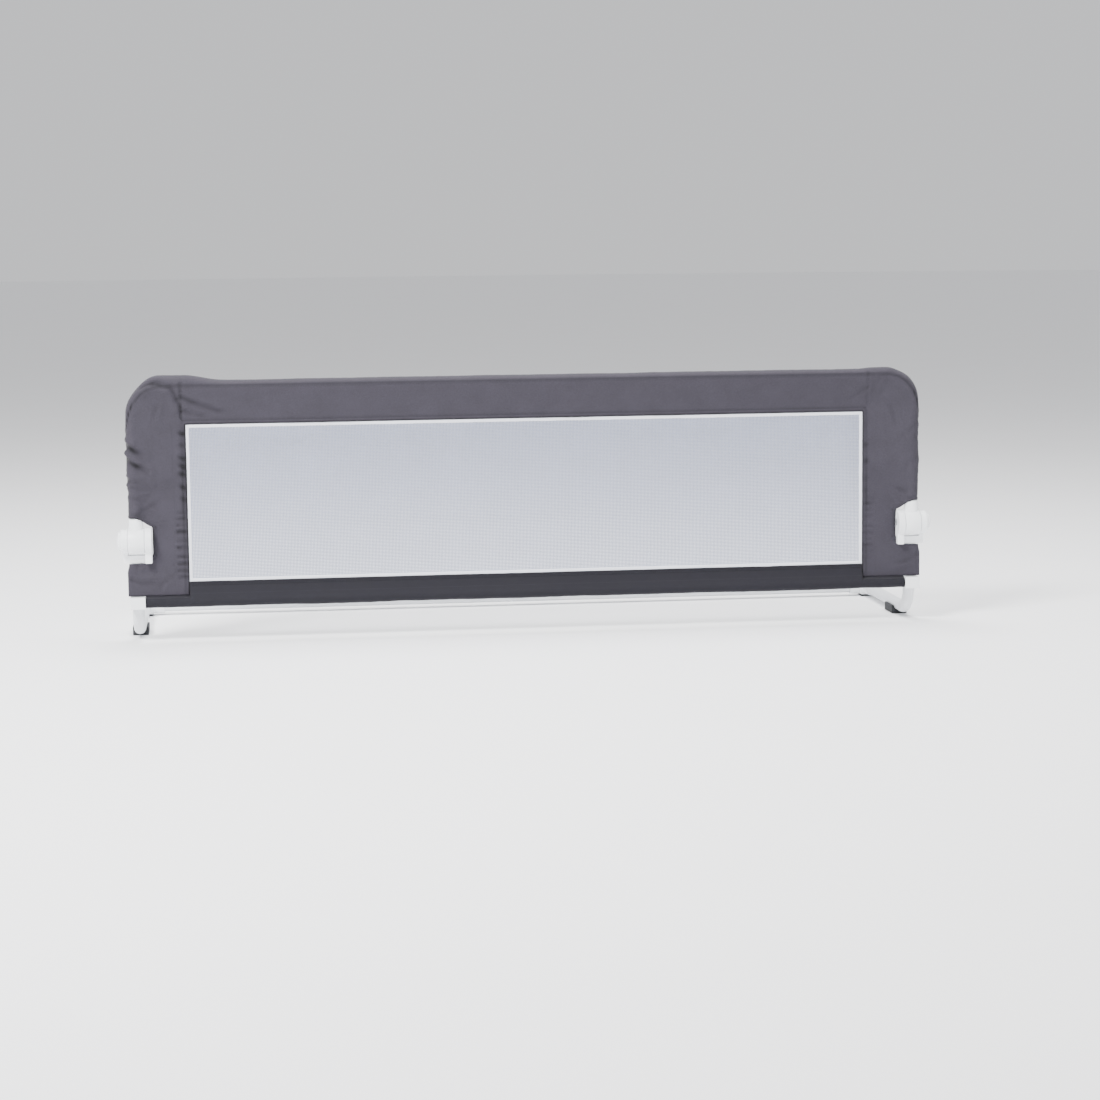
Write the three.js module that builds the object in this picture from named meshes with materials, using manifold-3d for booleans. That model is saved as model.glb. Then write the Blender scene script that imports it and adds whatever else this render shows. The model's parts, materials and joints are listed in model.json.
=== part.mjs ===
// Folding bed guard rail. A bent steel tube frame wears a cloth cover with a net window. Two push-button
// hinges let it fold outwards and down over the side of the bed, and two L-shaped legs with a rear tube
// lie under the mattress. Lengths are in millimetres. +X runs along the rail, -Y points away from the bed
// and +Z is up.

import * as THREE from 'three';
import { mergeGeometries, mergeVertices } from 'three/addons/utils/BufferGeometryUtils.js';
import Module from 'manifold-3d';

const wasm = await Module();
wasm.setup();

// Whole rail
const coverWidth = 1500;
const coverRise = 296.5;
const foldHeight = 190;
const baseDepth = 350;

// Clearances
const fit = 0.3;
const overrun = 3;
const weldDistance = 0.0001;

// Cloth cover
const clothWall = 1.2;
const webThickness = 2;
const webSetback = 0.4;
const topBandHeight = 82;
const bottomBandHeight = 37.7;
const columnWidth = 109;
const lowerFlare = 5;
const notchMargin = 3.7;
const clothGap = 1.5;

// Net window
const netBorder = 4;
const strandWidth = 3;
const netColumns = 24;
const netRowsUpper = 6;
const netRowsLower = 2;

// Tubes
const railTubeDiameter = 22;
const legTubeDiameter = 22;
const barTubeDiameter = 16;
const tubeWall = 1;
const railBendRadius = 50;
const legBendRadius = 45;
const swageLength = 45;
const swageCone = 4;
const topJointReach = 380;
const tubeSides = 16;
const bendSteps = 4;

// Hinge: hub on the upper tube, fork on the leg
const hubHalfWidth = 15.5;
const hubRadius = 24;
const neckRise = 42;
const neckTaper = 1.4;
const tubeSeatRise = 23;
const socketWall = 3;
const edgeRadius = 2.5;
const pocketRadius = 16.7;
const pocketFloor = -4;
const cheekRadius = 25;
const innerCheekWidth = 13.2;
const cupRadius = 22.5;
const cupRound = 4;
const cupDepth = 13.2;
const cupFloor = 3.2;
const cupWall = 3.8;
const tabShare = 0.67;
const cheekFront = 12;
const collarTop = 28;
const collarDrop = 41.5;
const collarFront = 2.8;
const bareLeg = 18;
const legSetback = 17;
const legSeatDrop = 33;
const cheekBevel = 1.5;
const hingeSides = 28;
const boreSides = 16;
const rimSteps = 2;

// Push button, lock gear and spring
const buttonProud = 7;
const buttonCrown = 1.8;
const buttonCrownShare = 0.8;
const buttonWall = 2.2;
const buttonRound = 4;
const bossRadius = 9;
const buttonTravel = 6.5;
const gearTeeth = 12;
const gearTipRadius = 16.2;
const gearRootRadius = 13.4;
const gearThickness = 11;
const gearBore = 5.5;
const springRadius = 11.2;
const springWire = 1.4;
const springPitch = 3.25;
const springTurns = 4;
const springSteps = 8;
const springSides = 5;

// Pivot bolt, washer and nut
const boltRadius = 4;
const boltHeadRadius = 7;
const boltHeadHeight = 4;
const boltKey = 5;
const boltKeyDepth = 2.5;
const washerRadius = 8;
const washerThickness = 1.5;
const nutCornerRadius = 7.4;
const nutHeight = 6;
const boltEnd = 6.4;

// Screws that hold the tubes in their sockets
const screwRadius = 2;
const screwHeadRadius = 3.6;
const screwHeadHeight = 2.2;
const screwReach = 3.5;
const screwDimple = 1.2;
const neckScrewRise = 34;
const skirtScrewInset = 14;
const screwSides = 10;

// Snap buttons that lock the tube joints
const snapRadius = 3;
const snapProud = 1.2;
const snapFlange = 1.2;
const snapLeafLength = 30;
const snapLeafThickness = 0.6;
const snapLeafWidth = 6;

// Lower front bar and its clamps
const barSetback = -5;
const clampHalfWidth = 14;
const clampHeight = 22;
const clampEndWall = 3;
const clampBevel = 1.2;

// Rear elbows, rubber feet and leg pads
const elbowReach = 38;
const elbowStopWall = 1.5;
const footHalf = 18;
const footThickness = 3.2;
const padHalfWidth = 15;
const padLength = 60;
const padFront = 85;
const padHeight = 16;

// Sizes that follow from the ones above
const railTubeRadius = railTubeDiameter / 2;
const legTubeRadius = legTubeDiameter / 2;
const barTubeRadius = barTubeDiameter / 2;
const railSleeveRadius = railTubeRadius + fit + clothWall;
const barSleeveRadius = barTubeRadius + fit + clothWall;
const neckRadius = railTubeRadius + socketWall;
const skirtRadius = legTubeRadius + socketWall;
const railX = coverWidth / 2 - railSleeveRadius;
const topTubeRise = coverRise - railSleeveRadius;
const seamX = coverWidth / 2 - columnWidth;
const windowTop = coverRise - topBandHeight;
const forkGap = hubHalfWidth + fit;
const innerCheekEnd = forkGap + innerCheekWidth;
const notchX = railX - innerCheekEnd - notchMargin;
const notchDrop = collarDrop + clothGap;
const sleeveFoot = neckRise + clothGap;
const elbowStop = legTubeRadius + elbowStopWall;
const legCentreHeight = footThickness + fit + skirtRadius;
const clampBottom = legCentreHeight + legBendRadius + fit;
const barHeight = clampBottom + clampHeight / 2;
const barRise = barHeight - foldHeight;
const clampTopRise = clampBottom + clampHeight - foldHeight;
const windowBottom = barRise + bottomBandHeight;
const skirtDrop = -clampTopRise - bareLeg;
const skirtScrewDrop = skirtDrop - skirtScrewInset;
const clampInnerX = railX - clampHalfWidth;
const barEnd = railX + clampHalfWidth - clampEndWall - fit;
const barSplit = fit / 2;
const rearEnd = railX - elbowStop - fit;
const snapX = topJointReach + swageLength / 2;
const gearInner = pocketFloor + fit * 2 + springWire + springTurns * springPitch;
const frontReach = cheekRadius;
const rearReach = baseDepth + footHalf;

// Materials
function finish(color, roughness, metalness) {
  return new THREE.MeshStandardMaterial({ color, roughness, metalness });
}
const paintedSteel = () => finish('#e6e7ea', 0.35, 0.2);
const whitePlastic = () => finish('#eceff2', 0.42, 0);
const greyCloth = () => finish('#66626e', 0.9, 0);
const netCloth = () => finish('#d8dae2', 0.85, 0);
const zincSteel = () => finish('#b9bcc0', 0.32, 1);
const springSteel = () => finish('#8f9296', 0.3, 1);
const blackRubber = () => finish('#2f3033', 0.85, 0);

// Vertices that share a place become one, and triangles that collapse are left out
function weld(geometry) {
  const bare = geometry.clone();
  bare.deleteAttribute('normal');
  bare.deleteAttribute('uv');
  const merged = mergeVertices(bare, weldDistance);
  const kept = [];
  const index = merged.index.array;
  for (let i = 0; i < index.length; i += 3) {
    const [a, b, c] = [index[i], index[i + 1], index[i + 2]];
    if (a !== b && b !== c && c !== a) kept.push(a, b, c);
  }
  merged.setIndex(kept);
  return merged;
}

function flipped(geometry) {
  const index = geometry.index.array;
  for (let i = 0; i < index.length; i += 3) [index[i], index[i + 1]] = [index[i + 1], index[i]];
  return geometry;
}

// A negative volume means that the faces point inwards, so they are turned round
function outward(geometry) {
  const welded = weld(geometry);
  const place = welded.attributes.position;
  const corner = [new THREE.Vector3(), new THREE.Vector3(), new THREE.Vector3()];
  let volume = 0;
  for (let i = 0; i < welded.index.count; i += 3) {
    corner.forEach((point, k) => point.fromBufferAttribute(place, welded.index.array[i + k]));
    volume += corner[0].dot(corner[1].clone().cross(corner[2]));
  }
  return volume < 0 ? flipped(welded) : welded;
}

function mirrored(geometry) {
  return flipped(geometry.clone().scale(-1, 1, 1));
}

// Joins and cuts
function solid(geometry) {
  const closed = outward(geometry);
  const vertProperties = Float32Array.from(closed.attributes.position.array);
  const triVerts = Uint32Array.from(closed.index.array);
  return new wasm.Manifold(new wasm.Mesh({ numProp: 3, vertProperties, triVerts }));
}

function surface(body) {
  const mesh = body.getMesh();
  const geometry = new THREE.BufferGeometry();
  geometry.setAttribute('position', new THREE.BufferAttribute(Float32Array.from(mesh.vertProperties), 3));
  geometry.setIndex(Array.from(mesh.triVerts));
  return geometry;
}

function join(...geometries) {
  return surface(geometries.map(solid).reduce((whole, piece) => whole.add(piece)));
}

function cut(geometry, ...tools) {
  return surface(tools.map(solid).reduce((rest, tool) => rest.subtract(tool), solid(geometry)));
}

// Outlines
function arcPoints(x, y, radius, from, to, steps) {
  return Array.from({ length: steps + 1 }, (_, i) => {
    const angle = from + ((to - from) * i) / steps;
    return new THREE.Vector2(x + radius * Math.cos(angle), y + radius * Math.sin(angle));
  });
}

function circle(radius, sides) {
  return arcPoints(0, 0, radius, 0, Math.PI * 2, sides).slice(0, sides);
}

function points(...pairs) {
  return pairs.map(([x, y]) => new THREE.Vector2(x, y));
}

// A rectangle between two places across and two places up
function oblong(left, right, low, high) {
  return points([left, low], [right, low], [right, high], [left, high]);
}

function shapeOf(outline, ...holes) {
  const shape = new THREE.Shape(outline);
  shape.holes = holes.map((hole) => new THREE.Path(hole));
  return shape;
}

// Solids that lie along an axis
const alongAxis = {
  x: new THREE.Matrix4().makeBasis(
    new THREE.Vector3(0, 1, 0), new THREE.Vector3(0, 0, 1), new THREE.Vector3(1, 0, 0)),
  y: new THREE.Matrix4().makeBasis(
    new THREE.Vector3(1, 0, 0), new THREE.Vector3(0, 0, 1), new THREE.Vector3(0, -1, 0)),
  z: new THREE.Matrix4(),
};

// An outline pushed along an axis. Along X the outline reads (y, z), along Y (x, z) and along Z (x, y).
function pushed(shape, axis, from, to, bevel = 0) {
  const options = {
    depth: to - from - bevel * 2,
    bevelEnabled: bevel > 0,
    bevelSize: bevel,
    bevelThickness: bevel,
    bevelOffset: -bevel,
    bevelSegments: 1,
  };
  const geometry = new THREE.ExtrudeGeometry(shape, options);
  geometry.translate(0, 0, axis === 'y' ? bevel - to : from + bevel);
  return outward(geometry.applyMatrix4(alongAxis[axis]));
}

// A profile of [radius, place] pairs turned round an axis
function turned(profile, axis, sides = hingeSides) {
  const geometry = new THREE.LatheGeometry(points(...profile), sides);
  if (axis === 'x') geometry.rotateZ(-Math.PI / 2);
  if (axis === 'z') geometry.rotateX(Math.PI / 2);
  return outward(geometry);
}

function rod(radius, axis, from, to, sides = boreSides) {
  return turned([[0, from], [radius, from], [radius, to], [0, to]], axis, sides);
}

function ring(outer, inner, axis, from, to, sides = boreSides) {
  return turned([[inner, from], [outer, from], [outer, to], [inner, to], [inner, from]], axis, sides);
}

// A drum with rounded rims
function drum(radius, axis, from, to, round, sides = hingeSides) {
  const low = arcPoints(radius - round, from + round, round, -Math.PI / 2, 0, rimSteps);
  const high = arcPoints(radius - round, to - round, round, 0, Math.PI / 2, rimSteps);
  const rims = [...low, ...high].map((point) => [point.x, point.y]);
  return turned([[0, from], ...rims, [0, to]], axis, sides);
}

// A tube route: straight runs with round bends, read station by station
class Route extends THREE.Curve {
  constructor(corners, bendRadius) {
    super();
    this.stations = [corners[0]];
    this.headings = [corners[1].clone().sub(corners[0]).normalize()];
    for (let i = 1; i < corners.length - 1; i += 1) this.addBend(corners[i], corners[i + 1], bendRadius);
    this.stations.push(corners[corners.length - 1]);
    this.headings.push(this.headings[this.headings.length - 1]);
  }

  addBend(corner, next, bendRadius) {
    const heading = this.headings[this.headings.length - 1];
    const turnTo = next.clone().sub(corner).normalize();
    const centre = corner.clone().addScaledVector(heading, -bendRadius).addScaledVector(turnTo, bendRadius);
    for (let step = 0; step <= bendSteps; step += 1) {
      const angle = (step / bendSteps) * (Math.PI / 2);
      const place = centre.clone().addScaledVector(turnTo, -bendRadius * Math.cos(angle));
      this.stations.push(place.addScaledVector(heading, bendRadius * Math.sin(angle)));
      const along = heading.clone().multiplyScalar(Math.cos(angle));
      this.headings.push(along.addScaledVector(turnTo, Math.sin(angle)));
    }
  }

  getPoint(t, target = new THREE.Vector3()) {
    const place = t * (this.stations.length - 1);
    const index = Math.min(Math.floor(place), this.stations.length - 2);
    return target.lerpVectors(this.stations[index], this.stations[index + 1], place - index);
  }

  getPointAt(u, target) {
    return this.getPoint(u, target);
  }

  getTangentAt(u, target = new THREE.Vector3()) {
    return target.copy(this.headings[Math.round(u * (this.headings.length - 1))]);
  }
}

function swept(shape, corners, bendRadius) {
  const route = new Route(corners, bendRadius);
  const options = { steps: route.stations.length - 1, extrudePath: route, bevelEnabled: false };
  return outward(new THREE.ExtrudeGeometry(shape, options));
}

function at(x, y, z) {
  return new THREE.Vector3(x, y, z);
}

// A straight tube whose ends may be drawn in to slide inside the next tube
function straightTube(radius, from, to, swageFrom, swageTo) {
  const inner = radius - tubeWall;
  const slim = inner - fit;
  const bore = slim - tubeWall;
  const start = swageFrom
    ? [[slim, from - swageLength], [slim, from], [radius, from + swageCone]]
    : [[radius, from]];
  const finishEnd = swageTo
    ? [[radius, to - swageCone], [slim, to], [slim, to + swageLength]]
    : [[radius, to]];
  const back = swageTo
    ? [[bore, to + swageLength], [bore, to], [inner, to - swageCone]]
    : [[inner, to]];
  const home = swageFrom
    ? [[inner, from + swageCone], [bore, from], [bore, from - swageLength]]
    : [[inner, from]];
  const outline = [...start, ...finishEnd, ...back, ...home];
  return turned([...outline, outline[0]], 'x', tubeSides);
}

// Upper frame, seen from the fold axis

function railCorners(footRise, endX) {
  return [at(railX, 0, footRise), at(railX, 0, topTubeRise), at(endX, 0, topTubeRise)];
}

// A small hole towards the rear, from the middle of a tube or a sleeve
function rearHole(radius, from, to) {
  return rod(radius + fit, 'y', from, to, screwSides);
}

function tubeSection(radius) {
  return shapeOf(circle(radius, tubeSides), circle(radius - tubeWall, tubeSides));
}

function cornerTube() {
  const corners = railCorners(tubeSeatRise + fit, topJointReach);
  const tube = swept(tubeSection(railTubeRadius), corners, railBendRadius);
  const snapHole = rearHole(snapRadius, 0, railSleeveRadius);
  const screwHole = rearHole(screwRadius, 0, railSleeveRadius);
  snapHole.translate(snapX, 0, topTubeRise);
  screwHole.translate(railX, 0, neckScrewRise);
  return cut(tube, snapHole, screwHole);
}

function topTube() {
  const reach = topJointReach - fit;
  const tube = straightTube(railTubeRadius, -reach, reach, true, true);
  const holes = [-snapX, snapX].map((x) => rearHole(snapRadius, 0, railSleeveRadius).translate(x, 0, 0));
  return cut(tube, ...holes);
}

function hingeHub() {
  const hub = drum(hubRadius, 'x', -hubHalfWidth, hubHalfWidth, edgeRadius);
  const neckProfile = [[0, 0], [neckRadius, 0], [neckRadius, hubRadius], [neckRadius - neckTaper, neckRise]];
  const neck = turned([...neckProfile, [0, neckRise]], 'z');
  const pivotHole = rod(boltRadius + fit, 'x', -hubHalfWidth - overrun, hubHalfWidth);
  const pocket = rod(pocketRadius, 'x', pocketFloor, hubHalfWidth + overrun, hingeSides);
  const socket = rod(railTubeRadius + fit, 'z', tubeSeatRise, neckRise + overrun);
  return cut(join(hub, neck), pivotHole, pocket, socket, ...screwCuts(neckRadius, neckScrewRise));
}

// The hole and the counterbore for a screw that enters from the rear
function screwCuts(socketRadius, rise) {
  const hole = rearHole(screwRadius, 0, socketRadius + overrun);
  const seat = rearHole(screwHeadRadius, socketRadius - screwHeadHeight, socketRadius + overrun);
  return [hole.translate(0, 0, rise), seat.translate(0, 0, rise)];
}

function tubeScrew(socketRadius) {
  const seat = socketRadius - screwHeadHeight + fit;
  const top = seat + screwHeadHeight;
  const profile = [
    [0, seat - screwReach],
    [screwRadius, seat - screwReach],
    [screwRadius, seat],
    [screwHeadRadius, seat],
    [screwHeadRadius, seat + screwHeadHeight / 2],
    [screwHeadRadius / 2, top],
    [0, top - screwDimple],
  ];
  return turned(profile, 'y', screwSides);
}

function snapPin(tubeRadius) {
  const slimBore = tubeRadius - tubeWall * 2 - fit;
  const flangeRadius = snapRadius + snapFlange;
  const shoulder = Math.sqrt(slimBore ** 2 - flangeRadius ** 2) - fit;
  const tip = tubeRadius + snapProud;
  const profile = [
    [0, shoulder - snapFlange],
    [flangeRadius, shoulder - snapFlange],
    [flangeRadius, shoulder],
    [snapRadius, shoulder],
    [snapRadius, tip - snapProud],
    [snapRadius / 2, tip],
    [0, tip],
  ];
  return turned(profile, 'y', screwSides);
}

// A bent leaf: one arm under the pin, the other on the far wall of the tube
function snapLeaf(tubeRadius) {
  const slimBore = tubeRadius - tubeWall * 2 - fit;
  const flangeRadius = snapRadius + snapFlange;
  const top = Math.sqrt(slimBore ** 2 - flangeRadius ** 2) - snapFlange - fit * 2;
  const low = Math.sqrt(slimBore ** 2 - (snapLeafWidth / 2) ** 2) - fit;
  const outline = points(
    [flangeRadius, top],
    [-snapLeafLength, snapLeafThickness],
    [-snapLeafLength, -snapLeafThickness],
    [flangeRadius, -low],
    [flangeRadius, snapLeafThickness - low],
    [snapLeafThickness * 2 - snapLeafLength, 0],
    [flangeRadius, top - snapLeafThickness],
  );
  return pushed(shapeOf(outline), 'z', -snapLeafWidth / 2, snapLeafWidth / 2);
}

// Cloth cover

function webBetween(outline) {
  return pushed(shapeOf(outline), 'y', webSetback, webSetback + webThickness);
}

// A round tunnel with a flat web that leaves it below or above
function bandSection(sleeveRadius, boreRadius, centre, webEnd) {
  const front = webSetback - centre;
  const back = front + webThickness;
  const side = Math.sign(webEnd);
  const frontAngle = Math.acos(front / sleeveRadius) * side;
  const backAngle = Math.acos(back / sleeveRadius) * side;
  const sweep = side < 0 ? [backAngle, frontAngle + Math.PI * 2] : [frontAngle, backAngle + Math.PI * 2];
  const round = arcPoints(0, 0, sleeveRadius, sweep[0], sweep[1], tubeSides);
  const ends = side < 0 ? [[front, webEnd], [back, webEnd]] : [[back, webEnd], [front, webEnd]];
  return shapeOf([...round, ...points(...ends)], circle(boreRadius, tubeSides));
}

function topBand() {
  const reach = seamX - fit / 2;
  const section = bandSection(railSleeveRadius, railTubeRadius + fit, 0, windowTop - topTubeRise);
  const band = pushed(section, 'x', -reach, reach);
  const hole = rearHole(snapRadius, railTubeRadius / 2, railSleeveRadius + overrun);
  return cut(band, hole.clone().translate(-snapX, 0, 0), hole.translate(snapX, 0, 0));
}

function upperColumn() {
  const edge = seamX + fit / 2;
  const bendX = railX - railBendRadius;
  const bendRise = topTubeRise - railBendRadius;
  const outline = [
    ...points(
      [edge, fit],
      [notchX, fit],
      [notchX, cheekRadius],
      [railX - railSleeveRadius, sleeveFoot],
      [railX, sleeveFoot],
    ),
    ...arcPoints(bendX, bendRise, railBendRadius, 0, Math.PI / 2, bendSteps),
    new THREE.Vector2(edge, topTubeRise),
  ];
  const outside = shapeOf(circle(railSleeveRadius, tubeSides));
  const inside = shapeOf(circle(railTubeRadius + fit, tubeSides));
  const sleeve = swept(outside, railCorners(sleeveFoot, edge), railBendRadius);
  const bore = swept(inside, railCorners(sleeveFoot - overrun, edge - overrun), railBendRadius);
  return cut(join(sleeve, webBetween(outline)), bore);
}

function lowerColumn() {
  const edge = seamX + fit / 2;
  const outerEdge = coverWidth / 2 + lowerFlare;
  const clampTop = clampTopRise + clothGap;
  const tunnelEnd = clampInnerX - fit;
  const outline = points(
    [edge, -fit],
    [edge, barRise],
    [tunnelEnd, barRise],
    [tunnelEnd, clampTop],
    [outerEdge, clampTop],
    [outerEdge, -notchDrop],
    [notchX, -notchDrop],
    [notchX, -fit],
  );
  const tunnel = rod(barSleeveRadius, 'x', edge, tunnelEnd, tubeSides).translate(0, barSetback, barRise);
  const tunnelBore = rod(barTubeRadius + fit, 'x', edge - overrun, tunnelEnd + overrun, tubeSides);
  const pocketOuter = legSetback - webSetback - webThickness + fit;
  const pocketTop = -skirtDrop - clothGap;
  const pocket = rod(pocketOuter, 'z', clampTop, pocketTop).translate(railX, legSetback, 0);
  const pocketBore = rod(pocketOuter - clothWall, 'z', clampTop - overrun, pocketTop + overrun);
  return cut(
    join(webBetween(outline), tunnel, pocket),
    tunnelBore.translate(0, barSetback, barRise),
    pocketBore.translate(railX, legSetback, 0),
  );
}

function bottomBand() {
  const reach = seamX - fit / 2;
  const rise = windowBottom - barRise;
  const section = bandSection(barSleeveRadius, barTubeRadius + fit, barSetback, rise);
  return pushed(section, 'x', -reach, reach).translate(0, barSetback, barRise);
}

// A flat net: a border and straight strands with even gaps between them
function netPanel(low, high, rows) {
  const reach = seamX - fit / 2;
  const pitchX = (reach * 2 - netBorder * 2 + strandWidth) / netColumns;
  const pitchZ = (high - low - netBorder * 2 + strandWidth) / rows;
  const gap = new THREE.BoxGeometry(pitchX - strandWidth, webThickness + overrun * 2, pitchZ - strandWidth);
  const gaps = [];
  for (let column = 0; column < netColumns; column += 1) {
    for (let row = 0; row < rows; row += 1) {
      const x = (column + 1 / 2) * pitchX - strandWidth / 2 + netBorder - reach;
      const z = (row + 1 / 2) * pitchZ - strandWidth / 2 + netBorder + low;
      gaps.push(gap.clone().translate(x, webSetback + webThickness / 2, z));
    }
  }
  return cut(webBetween(oblong(-reach, reach, low, high)), mergeGeometries(gaps));
}

// Hinge fork on the leg, seen from the fold axis: X points away from the rail's middle

function cheekOutline(radius, front, steps) {
  const back = legSetback + legTubeRadius;
  const start = -Math.acos(Math.min(1, back / radius));
  const leave = Math.PI + Math.asin(Math.sqrt(1 - (front / radius) ** 2));
  const round = arcPoints(0, 0, radius, start, leave, steps);
  return [...round, ...points([-front, -collarDrop], [back, -collarDrop])];
}

function hingeFork() {
  const back = legSetback + legTubeRadius;
  const cheek = shapeOf(cheekOutline(cheekRadius, cheekFront, hingeSides / 2));
  const inner = pushed(cheek, 'x', -innerCheekEnd, -forkGap, cheekBevel);
  const cupEnd = forkGap + cupDepth;
  const cupRim = arcPoints(cupRadius - cupRound, cupEnd - cupRound, cupRound, 0, Math.PI / 2, rimSteps);
  const cupSide = cupRim.map((point) => [point.x, point.y]);
  const cup = turned([[0, forkGap], [cupRadius, forkGap], ...cupSide, [0, cupEnd]], 'x');
  const tabOutline = oblong(collarFront, back, -collarDrop, 0);
  const tabEnd = forkGap + cupDepth * tabShare;
  const tab = pushed(shapeOf(tabOutline), 'x', forkGap, tabEnd, cheekBevel);
  const collarOutline = oblong(collarFront, back, -collarDrop, -collarTop);
  const collar = pushed(shapeOf(collarOutline), 'x', -forkGap - cheekBevel, forkGap + cheekBevel);
  const skirt = rod(skirtRadius, 'z', -skirtDrop, -collarTop - cheekBevel).translate(0, legSetback, 0);
  const whole = join(inner, cup, tab, collar, skirt);
  const legBore = rod(legTubeRadius + fit, 'z', -skirtDrop - overrun, -legSeatDrop);
  const pivotHole = rod(boltRadius + fit, 'x', -innerCheekEnd - overrun, -forkGap + overrun);
  const headSeat = -innerCheekEnd + boltHeadHeight + fit * 2;
  const headHole = rod(boltHeadRadius + fit, 'x', -innerCheekEnd - overrun, headSeat);
  const cupBore = rod(cupRadius - cupWall, 'x', forkGap + cupFloor, cupEnd + overrun, hingeSides);
  const floorEnd = forkGap + cupFloor + overrun;
  const toothHole = pushed(shapeOf(gearOutline(fit)), 'x', forkGap - overrun, floorEnd);
  const screws = screwCuts(skirtRadius, -skirtScrewDrop).map((tool) => tool.translate(0, legSetback, 0));
  legBore.translate(0, legSetback, 0);
  return cut(whole, legBore, pivotHole, headHole, cupBore, toothHole, ...screws);
}

function gearOutline(grow) {
  const outline = [];
  const pitch = (Math.PI * 2) / gearTeeth;
  const toothShares = [[0.1, 1], [0.4, 1], [0.58, 0], [0.92, 0]];
  for (let tooth = 0; tooth < gearTeeth; tooth += 1) {
    for (const [share, tip] of toothShares) {
      const radius = (tip ? gearTipRadius : gearRootRadius) + grow;
      const angle = (tooth + share + growTurn(share, tip, grow)) * pitch;
      outline.push(new THREE.Vector2(radius * Math.cos(angle), radius * Math.sin(angle)));
    }
  }
  return outline;
}

// A grown tooth is wider on both flanks, as a share of the tooth pitch
function growTurn(share, tip, grow) {
  const turn = grow / ((Math.PI * 2 * gearTipRadius) / gearTeeth);
  const middleShare = 0.25;
  const gapShare = 0.75;
  return tip ? Math.sign(share - middleShare) * turn : -Math.sign(share - gapShare) * turn;
}

function lockGear() {
  const outline = shapeOf(gearOutline(0), circle(gearBore, boreSides));
  return pushed(outline, 'x', gearInner, gearInner + gearThickness);
}

function releaseButton() {
  const radius = cupRadius - cupWall - fit;
  const face = forkGap + cupDepth + buttonProud - buttonCrown;
  const skirtEnd = forkGap + cupFloor + buttonTravel + fit;
  const rimTurn = Math.PI / 2;
  const rim = arcPoints(radius - buttonRound, face - buttonRound, buttonRound, 0, rimTurn, rimSteps);
  const profile = [
    [0, gearInner + gearThickness + fit],
    [bossRadius, gearInner + gearThickness + fit],
    [bossRadius, face - buttonWall],
    [radius - buttonWall, face - buttonWall],
    [radius - buttonWall, skirtEnd],
    [radius, skirtEnd],
    ...rim.map((point) => [point.x, point.y]),
    [radius / 2, face + buttonCrown * buttonCrownShare],
    [0, face + buttonCrown],
  ];
  return turned(profile, 'x');
}

// A round wire wound along X, eight steps to a turn
function lockSpring() {
  const from = pocketFloor + fit + springWire / 2;
  const to = gearInner - fit - springWire / 2;
  const count = springTurns * springSteps;
  const place = [];
  const index = [];
  for (let step = 0; step <= count; step += 1) {
    const turn = (step / springSteps) * Math.PI * 2;
    for (let side = 0; side < springSides; side += 1) {
      const round = (side / springSides) * Math.PI * 2;
      const radius = springRadius + (springWire / 2) * Math.cos(round);
      const along = from + ((to - from) * step) / count + (springWire / 2) * Math.sin(round);
      place.push(along, radius * Math.cos(turn), radius * Math.sin(turn));
    }
  }
  for (let step = 0; step < count; step += 1) {
    for (let side = 0; side < springSides; side += 1) {
      const a = step * springSides + side;
      const b = step * springSides + ((side + 1) % springSides);
      index.push(a, b, a + springSides, b, b + springSides, a + springSides);
    }
  }
  const last = count * springSides;
  for (let side = 1; side < springSides - 1; side += 1) {
    index.push(0, side + 1, side, last, last + side, last + side + 1);
  }
  const geometry = new THREE.BufferGeometry();
  geometry.setAttribute('position', new THREE.Float32BufferAttribute(place, 3));
  geometry.setIndex(index);
  return outward(geometry);
}

function pivotBolt() {
  const seat = -innerCheekEnd + boltHeadHeight + fit;
  const profile = [
    [0, seat - boltHeadHeight],
    [boltHeadRadius - cheekBevel, seat - boltHeadHeight],
    [boltHeadRadius, seat - boltHeadHeight + cheekBevel],
    [boltHeadRadius, seat],
    [boltRadius, seat],
    [boltRadius, boltEnd],
    [0, boltEnd],
  ];
  const face = seat - boltHeadHeight;
  const key = rod(boltKey / 2, 'x', face - overrun, face + boltKeyDepth, 6);
  return cut(turned(profile, 'x', boreSides), key);
}

function pivotWasher() {
  const seat = pocketFloor + fit;
  return ring(washerRadius, boltRadius + fit, 'x', seat, seat + washerThickness);
}

function pivotNut() {
  const seat = pocketFloor + fit * 2 + washerThickness;
  const hexagon = circle(nutCornerRadius, 6);
  return pushed(shapeOf(hexagon, circle(boltRadius + fit, boreSides)), 'x', seat, seat + nutHeight);
}

// Base, seen from the floor

function legTube() {
  const corners = [
    at(railX, legSetback, foldHeight - legSeatDrop - fit),
    at(railX, legSetback, legCentreHeight),
    at(railX, baseDepth - elbowStop - fit, legCentreHeight),
  ];
  const tube = swept(tubeSection(legTubeRadius), corners, legBendRadius);
  const holes = [foldHeight - skirtScrewDrop, barHeight].map((height) => {
    return rearHole(screwRadius, 0, skirtRadius).translate(railX, legSetback, height);
  });
  return cut(tube, ...holes);
}

function barClamp() {
  const front = barSetback - barTubeRadius - clampEndWall;
  const rear = legSetback + skirtRadius;
  const block = shapeOf(oblong(-clampHalfWidth, clampHalfWidth, front, rear));
  const body = pushed(block, 'z', -clampHeight / 2, clampHeight / 2, clampBevel);
  const legBore = rod(legTubeRadius + fit, 'z', -clampHeight, clampHeight).translate(0, legSetback, 0);
  const barBore = rod(barTubeRadius + fit, 'x', -clampHalfWidth - overrun, clampHalfWidth - clampEndWall);
  const screws = screwCuts(skirtRadius, 0).map((tool) => tool.translate(0, legSetback, 0));
  return cut(body, legBore, barBore.translate(0, barSetback, 0), ...screws);
}

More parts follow.
